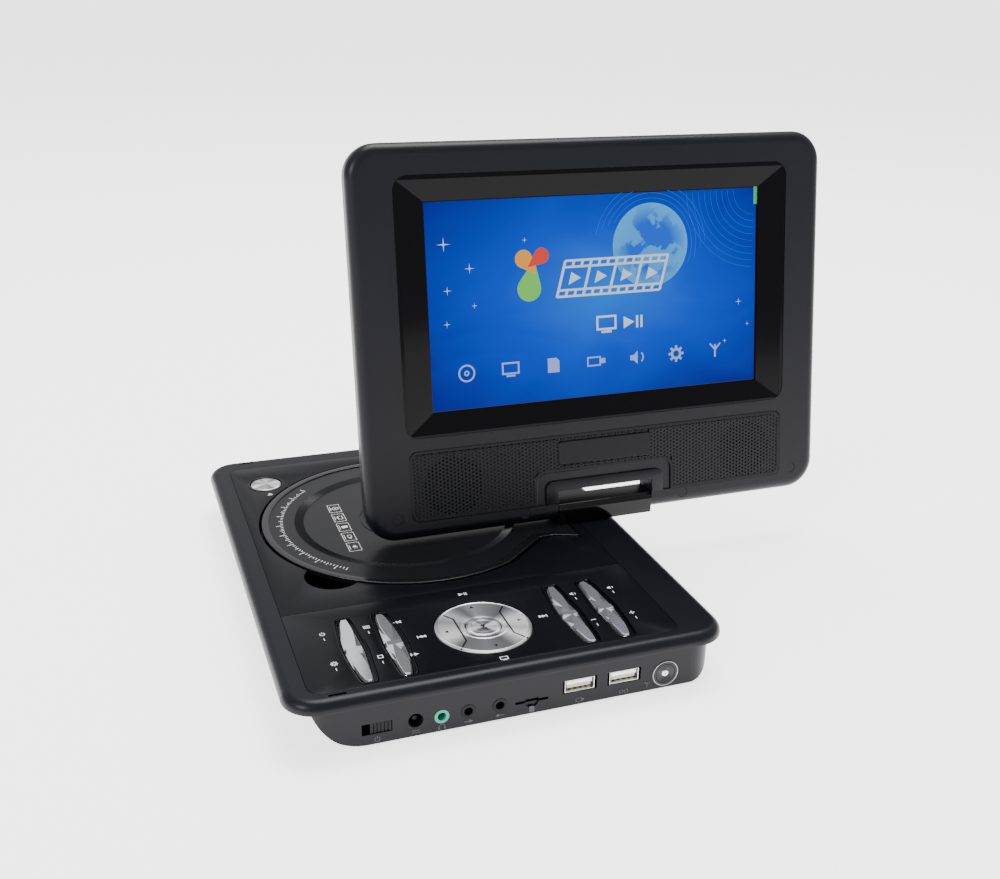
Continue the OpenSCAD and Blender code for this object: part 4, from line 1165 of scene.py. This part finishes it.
def make_open_button():
    low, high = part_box("open_button")
    r = 7.9 * mm
    centre = Vector(((low.x + high.x) / 2, (low.y + high.y) / 2, 0))
    base = high.z - 1.9 * mm
    dome = [(0.0, base), (r - 0.15 * mm, base)]
    dome += profile_from(r, high.z, [(-0.05, -0.8), (-0.3, -0.35)])
    dome += [(r * 0.9, high.z - 0.2 * mm), (r * 0.6, high.z - 0.06 * mm),
             (r * 0.3, high.z - 0.01 * mm), (0.0, high.z)]
    mesh = turned("open_button_dome", centre, dome, 64)
    add_piece("open_button_dome", mesh, turned_metal_painted_fan("turned_button", centre.x, centre.y),
              "open_button_body", "brushed_silver", "open_button")
    turning_map(mesh, centre)
    lip = profile_from(r, deck, [(0.5, -0.3), (1.5, -0.3), (1.5, 0.02), (1.2, 0.18),
                                 (0.8, 0.18), (0.5, -0.02)])
    collar = turned("open_button_collar", centre, lip, 64)
    add_piece("open_button_collar", collar, polished, "base", "gloss_black")
    return centre


button_centre = make_open_button()

# %% [markdown]
# ## The disc lid
# The lid is one satin moulding with a sloping ring that is ribbed like the edge of a coin,
# and a polished rim. Three hundred ribs all alike are one small rib and a rule: a tree of
# nodes sets a copy at every step round a circle and turns it to face the centre.

# %% Ribs round the lid
hub_low, hub_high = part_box("turntable")
disc_centre = (hub_low + hub_high) / 2
lid_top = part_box("disc_lid")[1].z


def ring_tree(finish):
    """Copies of a shape on a circle, each turned to face the centre."""
    tree, given, out = new_tree("ring_of_ribs", [
        ("Count", "Int", 300), ("Radius", "Float", 0.05), ("Rib", "Object", None)])
    circle = node(tree, "GeometryNodeMeshCircle")
    index = node(tree, "GeometryNodeInputIndex")
    share = node(tree, "ShaderNodeMath", operation="DIVIDE")
    turn = node(tree, "ShaderNodeMath", {1: 2 * math.pi}, operation="MULTIPLY")
    facing = node(tree, "ShaderNodeCombineXYZ")
    source = node(tree, "GeometryNodeObjectInfo")
    lay = node(tree, "GeometryNodeInstanceOnPoints")
    real = node(tree, "GeometryNodeRealizeInstances")
    paint = node(tree, "GeometryNodeSetMaterial", {"Material": finish})
    wire(tree, (given, "Count", circle, "Vertices"), (given, "Radius", circle, "Radius"),
         (index, "Index", share, 0), (given, "Count", share, 1), (share, 0, turn, 0),
         (turn, 0, facing, "Z"), (given, "Rib", source, "Object"),
         (circle, "Mesh", lay, "Points"), (source, "Geometry", lay, "Instance"),
         (facing, "Vector", lay, "Rotation"), (lay, "Instances", real, "Geometry"),
         (real, "Geometry", paint, "Geometry"), (paint, "Geometry", out, "Geometry"))
    return tree


def ring_of(name, rib_mesh, count, radius, finish, matrix, body, slot):
    rib = bpy.data.objects.new(name + "_rib", rib_mesh)
    tree = ring_tree(finish)
    seed = bpy.data.meshes.new(name + "_seed")
    mesh = run_tree(tree, seed, Count=count, Radius=radius, Rib=rib)
    bpy.data.objects.remove(rib)
    mesh.transform(matrix)
    print(name, "copies", count, "faces", len(mesh.polygons))
    return add_piece(name, mesh, None, body, slot)


def rib_mesh():
    """One low ridge that runs down the slope; its origin is in the middle of the slope."""
    half_l, half_w = 2.2 * mm, 0.3 * mm
    drop = 0.7 * mm * half_l / (4.8 * mm)
    vertices = []
    for x, z in ((-half_l, -drop * 2), (half_l, drop * 2)):
        z = z / 2
        vertices += [(x, -half_w, z - 0.1 * mm), (x, half_w, z - 0.1 * mm), (x, 0, z + 0.34 * mm)]
    faces = [(0, 3, 4, 1), (1, 4, 5, 2), (2, 5, 3, 0), (0, 1, 2), (5, 4, 3)]
    return tidy_mesh(mesh_from("rib", vertices, faces))


rib_count = 300
rib_ring_r = 52.4 * mm
ring_of("lid_ribs", rib_mesh(), rib_count, rib_ring_r, lid_finish,
        at(disc_centre.x, disc_centre.y, lid_top - 0.35 * mm),
        "disc_lid_body", "deck_black")

# %% [markdown]
# ## Printed signs
# White ink lies a few hundredths of a millimetre high on the panel. Words are left out: a
# row of boxed pictograms on the lid, a dial scale where an arc of words would run, and a
# small sign beside each key and each port say what is there.

# %% Pictograms
white_ink = moulded("white_ink", (0.75, 0.75, 0.74), 0.5, height=0.0)
grey_relief = moulded("relief_black", (0.030, 0.031, 0.034), 0.35, height=0.0)
ink = 0.03 * mm

signs = {
    "stop": frame_box(0, 0, 2.0, 2.0, 0.4),
    "menu": bar(0, 0.9, 3.0, 0.42) + bar(0, 0, 3.0, 0.42) + bar(0, -0.9, 3.0, 0.42),
    "pause": triangle(-1.0, 0, 2.2) + bar(0.9, 0, 0.45, 2.3) + bar(1.8, 0, 0.45, 2.3),
    "skip": triangle(-0.9, 0, 2.0) + triangle(0.7, 0, 2.0) + bar(2.1, 0, 0.4, 2.1),
    "fast": triangle(-0.8, 0, 2.0) + triangle(0.8, 0, 2.0),
    "minus": bar(0, 0, 2.4, 0.45),
    "plus": bar(0, 0, 2.4, 0.45) + bar(0, 0.76, 0.45, 1.05) + bar(0, -0.76, 0.45, 1.05),
    "speaker": [[(-1.3, -0.5), (-0.6, -0.5), (0.3, -1.3), (0.3, 1.3), (-0.6, 0.5), (-1.3, 0.5)]]
    + ring(0.4, 0, 1.1, 0.3, 8, -50, 50),
    "gear": ring(0, 0, 0.9, 0.5, 16)
    + [moved(bar(1.35, 0, 0.6, 0.5), 0, 0, 45 * k)[0] for k in range(8)],
    "screen": frame_box(0, 0.2, 3.2, 2.0, 0.35) + bar(0, -1.25, 1.8, 0.35),
    "disc": ring(0, 0, 1.5, 0.35, 20) + ring(0, 0, 0.4, 0.3, 10),
    "headphones": ring(0, -0.2, 1.3, 0.3, 14, 0, 180) + bar(-1.3, -0.7, 0.7, 1.2)
    + bar(1.3, -0.7, 0.7, 1.2),
    "arrow": bar(-0.6, 0, 2.2, 0.45) + triangle(1.1, 0, 1.7),
    "power": ring(0, 0, 1.1, 0.35, 16, 120, 420) + bar(0, 0.9, 0.35, 1.3),
    "card": [[(-1.2, -1.4), (1.2, -1.4), (1.2, 0.8), (0.6, 1.4), (-1.2, 1.4)]],
    "plug": frame_box(-0.3, 0, 2.6, 1.6, 0.3) + bar(1.6, 0, 1.0, 1.0),
    "pad": ring(-1.2, 0, 0.8, 0.35, 12) + ring(1.2, 0, 0.8, 0.35, 12) + bar(0, 0.3, 1.0, 0.4),
    "aerial": stroke([(0, -1.3), (0, 1.1)], 0.4) + stroke([(0, 0.1), (-1.1, 1.3)], 0.35)
    + stroke([(0, 0.1), (1.1, 1.3)], 0.35),
    "supply": bar(0, 0.5, 3.2, 0.4) + bar(0, -0.5, 0.8, 0.4) + bar(-1.2, -0.5, 0.8, 0.4)
    + bar(1.2, -0.5, 0.8, 0.4),
}
signs["skip_back"] = moved(signs["skip"], 0, 0, 180)
signs["fast_back"] = moved(signs["fast"], 0, 0, 180)
signs["arrow_back"] = moved(signs["arrow"], 0, 0, 180)

# %% Signs on the deck
lid_signs = ["disc", "screen", "card", "plug", "speaker"]


def deck_sign(name, shapes, height, body):
    printed(name, shapes, ink, at(0, 0, height + 0.004 * mm), white_ink, body, "deck_black")


def lid_print():
    cx, cy = disc_centre.x / mm, disc_centre.y / mm
    shapes = []
    for k, sign in enumerate(lid_signs):
        x, y = cx - 19.7 + 11 * k, cy - 31.8
        shapes += frame_box(x, y, 8.8, 5.8, 0.28)
        shapes += moved(signs[sign], x, y + 0.4, 0, 1.05)
        shapes += bar(x, y - 2.0, 4.6, 0.3)
    deck_sign("lid_icons", shapes, lid_top - 0.7 * mm, "disc_lid_body")
    scale = []
    marks, first_turn, sweep, inner_r = 58, 224, 95, 60.2
    for k in range(marks):
        turn = first_turn + sweep * k / (marks - 1)
        length = 3.4 if k % 6 == 0 else 2.1 if k % 3 == 0 else 1.3
        a = math.radians(turn)
        reach = inner_r + length / 2
        x, y = cx + reach * math.cos(a), cy + reach * math.sin(a)
        scale += moved(bar(0, 0, length, 0.42), x, y, turn)
    deck_sign("lid_scale", scale, lid_top, "disc_lid_body")


lid_print()


def panel_print():
    """Signs beside the keys; each is placed from the plate's centre, in millimetres."""
    cx, cy = plate_centre.x / mm, plate_centre.y / mm
    places = [(-14.0, -64.6, "power"), (9.0, -64.6, "gear"), (-14.0, -46.2, "menu"),
              (9.5, -46.2, "stop"), (0, -26.3, "skip_back"), (-28.2, 0, "pause"),
              (0, 26.3, "skip"), (25.6, 0, "screen"), (-13.8, 45.8, "speaker"),
              (9.2, 45.8, "minus"), (-14.0, 63.8, "speaker"), (8.8, 63.8, "plus"),
              (-14.0, -33.0, "fast_back"), (12.0, -33.0, "fast")]
    shapes = []
    for x, y, sign in places:
        shapes += moved(signs[sign], cx + x, cy + y, 90, 0.95)
        if abs(x) > 5 and abs(y) > 40:
            shapes += bar(cx + x + 4.2, cy + y, 1.8, 0.35)
    deck_sign("panel_signs", shapes, deck, "base")
    bx, by = button_centre.x / mm, button_centre.y / mm
    eject = [[(-1.5, -0.3), (1.5, -0.3), (0, 1.4)]] + bar(0, -1.0, 3.0, 0.5)
    deck_sign("open_sign", moved(eject, bx + 13.5, by, 90, 0.9), deck, "base")


panel_print()

# %% Cups round the rocker keys


def key_cup(number, side):
    """A polished lip round the recess that the key rocks in."""
    low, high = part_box(f"rocker_key_{number}")
    middle = (low + high) / 2
    width = (high.y - low.y) / mm
    out_y = high.y if side > 0 else low.y
    axis_y = out_y / mm - side * width * key_outer_share
    half = (high.x - low.x) / 2 / mm + 1.45

    def outline(m):
        outward, inward = width * key_outer_share + 1.4 + m, width * 0.41 + 1.4 + m
        end_out, end_in = width * 0.3 + 1.4 + m, width * 0.2 + 1.4 + m
        x, reach = middle.x / mm, half + m
        points = [(x - reach, axis_y - side * end_in), (x, axis_y - side * inward),
                  (x + reach, axis_y - side * end_in), (x + reach, axis_y + side * end_out),
                  (x, axis_y + side * outward), (x - reach, axis_y + side * end_out)]
        area = sum(a[0] * b[1] - b[0] * a[1] for a, b in zip(points, points[1:] + points[:1]))
        if area < 0:
            points.reverse()
        return smoothed(points, 2, 0.12)

    top = deck / mm
    rings = [(outline(0.0), top - 0.9), (outline(0.7), top - 0.9), (outline(0.7), top + 0.02),
             (outline(0.55), top + 0.16), (outline(0.2), top + 0.16), (outline(0.0), top + 0.02)]
    mesh = tidy_mesh(loft(f"key_cup_{number}", rings, smooth=False))
    add_piece(f"key_cup_{number}", mesh, polished, "base", "gloss_black")


for number, side in key_sides:
    key_cup(number, side)

# %% [markdown]
# ## The row of ports
# Each port has its sign below it, raised in the same black as the case, so it shows only
# where it catches the light. The serial sockets are folded steel shells round an ivory
# tongue with four gilt contacts. The aerial socket is a thin threaded collar round a dark
# ribbed sleeve and one bright pin.

# %% Signs under the ports
side_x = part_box("bottom_case")[1].x
facing_side = Matrix.Rotation(math.radians(90), 4, "Z") @ Matrix.Rotation(math.radians(90), 4, "X")
lengthwise = Matrix.Rotation(math.radians(90), 4, "Y")
port_signs = {
    "power_switch_housing": "power", "dc_jack": "supply", "headphone_jack": "headphones",
    "av_out_jack": "arrow", "av_in_jack": "arrow_back", "card_socket": "card",
    "usb_socket": "plug", "game_socket": "pad", "aerial_socket": "aerial",
}


def make_port_signs():
    shapes = []
    for port, sign in port_signs.items():
        low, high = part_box(port)
        middle = (low.y + high.y) / 2 / mm
        aside = -8.2 if port == "aerial_socket" else 0
        shapes += moved(signs[sign], middle + aside, 3.7 if not aside else 4.6, 0, 0.95)
    printed("port_signs", shapes, 0.2 * mm, at(side_x - 0.01 * mm, 0, 0) @ facing_side,
            grey_relief, "base", "case_black")


make_port_signs()

# %% Tongues and contacts of the serial sockets
gilt = metal("gilt", (0.85, 0.62, 0.25), 0.25)


def box_shape(name, low, high, width):
    """A box from corner to corner, in metres, with softened edges."""
    x0, y0, z0 = low
    x1, y1, z1 = high
    vertices = [(x, y, z) for z in (z0, z1) for y in (y0, y1) for x in (x0, x1)]
    faces = [(0, 2, 3, 1), (4, 5, 7, 6), (0, 1, 5, 4), (2, 6, 7, 3), (0, 4, 6, 2), (1, 3, 7, 5)]
    mesh = mesh_from(name, vertices, faces)
    with editing(mesh) as work:
        round_edges(work, width, 2, 30)
    shade(mesh, True)
    return mesh


def serial_socket(port):
    low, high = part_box(port)
    y, z = (low.y + high.y) / 2, (low.z + high.z) / 2
    front = high.x
    tongue = box_shape(port + "_tongue", (front - 9 * mm, y - 5.2 * mm, z - 0.7 * mm),
                       (front - 1.2 * mm, y + 5.2 * mm, z + 0.6 * mm), 0.15 * mm)
    add_piece(port + "_tongue", tongue, ivory_tongue, "base", "white_plastic")
    contacts = []
    for k in range(4):
        contacts += bar(-3.5 + k * 7 / 3, 0, 1.1, 6.4)
    turn = Matrix.Rotation(math.radians(-90), 4, "Z")
    printed(port + "_contacts", contacts, 0.12 * mm, at(front - 4.8 * mm, y, z - 0.8 * mm) @ turn,
            gilt, "base", "brass")


serial_socket("usb_socket")
serial_socket("game_socket")

# %% Aerial socket
dark_steel = metal("dark_steel", (0.30, 0.30, 0.31), 0.3)


def side_turned(name, place, profile, finish, slot, count=48):
    mesh = turned(name, Vector((0, 0, 0)), profile, count)
    mesh.transform(at(*place) @ lengthwise)
    return add_piece(name, mesh, finish, "base", slot)


def make_aerial():
    low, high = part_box("aerial_socket")
    place = Vector((high.x, (low.y + high.y) / 2, (low.z + high.z) / 2))
    r = (high.y - low.y) / 2
    collar = profile_from(r, 0, [(-0.85, -1.6), (0.02, -1.6), (0.02, 0), (-0.1, 0.1),
                                 (-0.3, 0.1), (-0.85, -0.5)])
    side_turned("aerial_collar", place, collar, dark_steel, "steel", 64)
    sleeve = [(1.6 * mm, -3.2 * mm), (r - 0.86 * mm, -3.2 * mm)]
    for k in range(6):
        sleeve += profile_from(r - (0.9 + 0.5 * k) * mm, -0.12 * k * mm,
                               [(0, 0.05), (-0.22, 0.05), (-0.24, -0.4), (-0.46, -0.4)])
    sleeve += [(1.6 * mm, -0.9 * mm)]
    side_turned("aerial_sleeve", place, sleeve, grey_relief, "port_black", 48)
    pin = profile_from(0, 0, [(0, -3.0), (1.5, -3.0), (1.5, -0.2), (1.1, 0.05), (0.55, 0.1),
                              (0.5, -0.6), (0, -0.6)])
    side_turned("aerial_pin", place, pin, plated, "steel", 32)


make_aerial()

# %% [markdown]
# ## Edges that catch the light
# On a real moulding no edge is sharp: each has a small radius, and the thin bright line it
# draws is what the eye reads as an edge. A CAD node's mesh is never touched, so a copy is
# merged, its flat triangles are joined, and its sharp edges are rounded. The copy then
# takes the node's place.

# %% Rounded copies of CAD nodes
body_names = {empty.name: body for body, empty in frame["bodies"].items()}


def stand_in(name, ending, mesh, slot):
    """A changed copy of a CAD node's mesh takes the node's place on the same body."""
    mesh.name = name + ending
    add_piece(name + ending, mesh, finishes[name], body_names[nodes[name].parent.name],
              slot, name)
    print(name + ending, len(mesh.polygons))


def rounded_copy(name, width, slot):
    mesh = nodes[name].data.copy()
    with editing(mesh) as work:
        bmesh.ops.remove_doubles(work, verts=work.verts, dist=2e-6)
        bmesh.ops.dissolve_limit(work, angle_limit=math.radians(1.0), verts=work.verts,
                                 edges=work.edges)
        round_edges(work, width, 2, 40)
        bmesh.ops.triangulate(work, faces=work.faces)
    shade(mesh, True)
    mesh.set_sharp_from_angle(angle=math.radians(25))
    stand_in(name, "_rounded", mesh, slot)


for name, width, slot in [("lid_rim", 1.1 * mm, "gloss_black"),
                          ("hinge_block", 0.5 * mm, "case_black"),
                          ("hinge_surround", 0.35 * mm, "case_black"),
                          ("hinge_cap", 0.35 * mm, "gloss_black"),
                          ("control_panel", 0.18 * mm, "deck_black"),
                          ("disc_deck", 0.18 * mm, "deck_black"),
                          ("usb_socket", 0.2 * mm, "steel"),
                          ("game_socket", 0.2 * mm, "steel")]:
    rounded_copy(name, width, slot)

# %% [markdown]
# ## Last details of the display
# A strip of green film marks the protective sheet's corner, and small pictograms run along
# the bottom of the screen and under the film strip.

# %% Film tab and pictogram rows
green_film = moulded("green_film", (0.01, 0.24, 0.07), 0.35, height=0.0)


def picture_row():
    shapes = []
    for k, sign in enumerate(lid_signs + ["gear", "aerial"]):
        x, y = on_screen(0.10 + 0.128 * k, 0.175)
        shapes += moved(signs[sign], x, y, 0, 2.5)
    picture_piece("screen_row", shapes, lilac_glow, 3)
    x, y = on_screen(0.52, 0.36)
    second = moved(signs["screen"], x, y, 0, 3.0) + moved(signs["pause"], x + 14, y, 0, 2.6)
    picture_piece("screen_second_row", second, white_glow, 3)


def film_tab():
    x, y = screen_x1 / mm, screen_y1 / mm
    printed("film_tab", bar(x - 0.2, y - 3.7, 2.8, 8.6), 0.08 * mm,
            on_display @ at(0, 0, glass + 0.25 * mm), green_film, "display_body",
            "green_plastic")


picture_row()
film_tab()

# %% [markdown]
# ## The back and the underside
# The back and the underside are guesses. A display cover's back is never quite plain: here
# it has a fine moulded line round the middle field and two rows of air slots. The underside has a
# plain recessed line where a rating plate would sit, and slots under the drive. They are
# cut from copies of the covers, so they are real grooves in the mesh.

# %% Cut grooves


def grooved_copy(name, shapes, depth, matrix, slot):
    """A copy of a CAD node with grooves; the matrix carries the flat shapes to its face."""
    mesh = nodes[name].data.copy()
    with editing(mesh) as work:
        bmesh.ops.remove_doubles(work, verts=work.verts, dist=2e-6)
    cutter = prisms(name + "_grooves", shapes, depth, matrix)
    result = cut_away(mesh, cutter, name + "_cut")
    if "custom_normal" in result.attributes:
        result.attributes.remove(result.attributes["custom_normal"])
    result.set_sharp_from_angle(angle=math.radians(35))
    axes_of_face = matrix.to_3x3().transposed()
    for polygon in result.polygons:
        flat = max(abs(axis.dot(polygon.normal)) for axis in axes_of_face) > 0.99995
        polygon.use_smooth = not flat
    stand_in(name, "_grooved", result, slot)


def slot_rows(x, y, count, pitch, length, width):
    shapes = []
    for k in range(count):
        at = x + (k - (count - 1) / 2) * pitch
        shapes += [rounded_rectangle(at - width / 2, at + width / 2, y - length / 2,
                                     y + length / 2, width / 2 - 0.01, 3)]
    return shapes


def line_box(x0, x1, y0, y1, width):
    """Four bars that meet end to end without overlapping."""
    return [bar((x0 + x1) / 2, y0, x1 - x0 + width, width)[0],
            bar((x0 + x1) / 2, y1, x1 - x0 + width, width)[0],
            bar(x0, (y0 + y1) / 2, width, y1 - y0 - width * 1.02)[0],
            bar(x1, (y0 + y1) / 2, width, y1 - y0 - width * 1.02)[0]]


back_face = flat_box("display_back_cover")[0].z
back_shapes = line_box(-96, 96, 26, 158, 0.8) + slot_rows(-62, 140, 9, 4.2, 16, 1.8)
back_shapes += slot_rows(62, 140, 9, 4.2, 16, 1.8)
grooved_copy("display_back_cover", back_shapes, 1.5 * mm,
             on_display @ at(0, 0, back_face - 1.0 * mm), "case_black")
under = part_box("bottom_case")[0].z
under_shapes = line_box(20, 92, -100, -58, 0.8) + slot_rows(-26, -64, 13, 4.5, 22, 1.8)
grooved_copy("bottom_case", under_shapes, 1.45 * mm,
             at(0, 0, under - 1.0 * mm), "case_black")
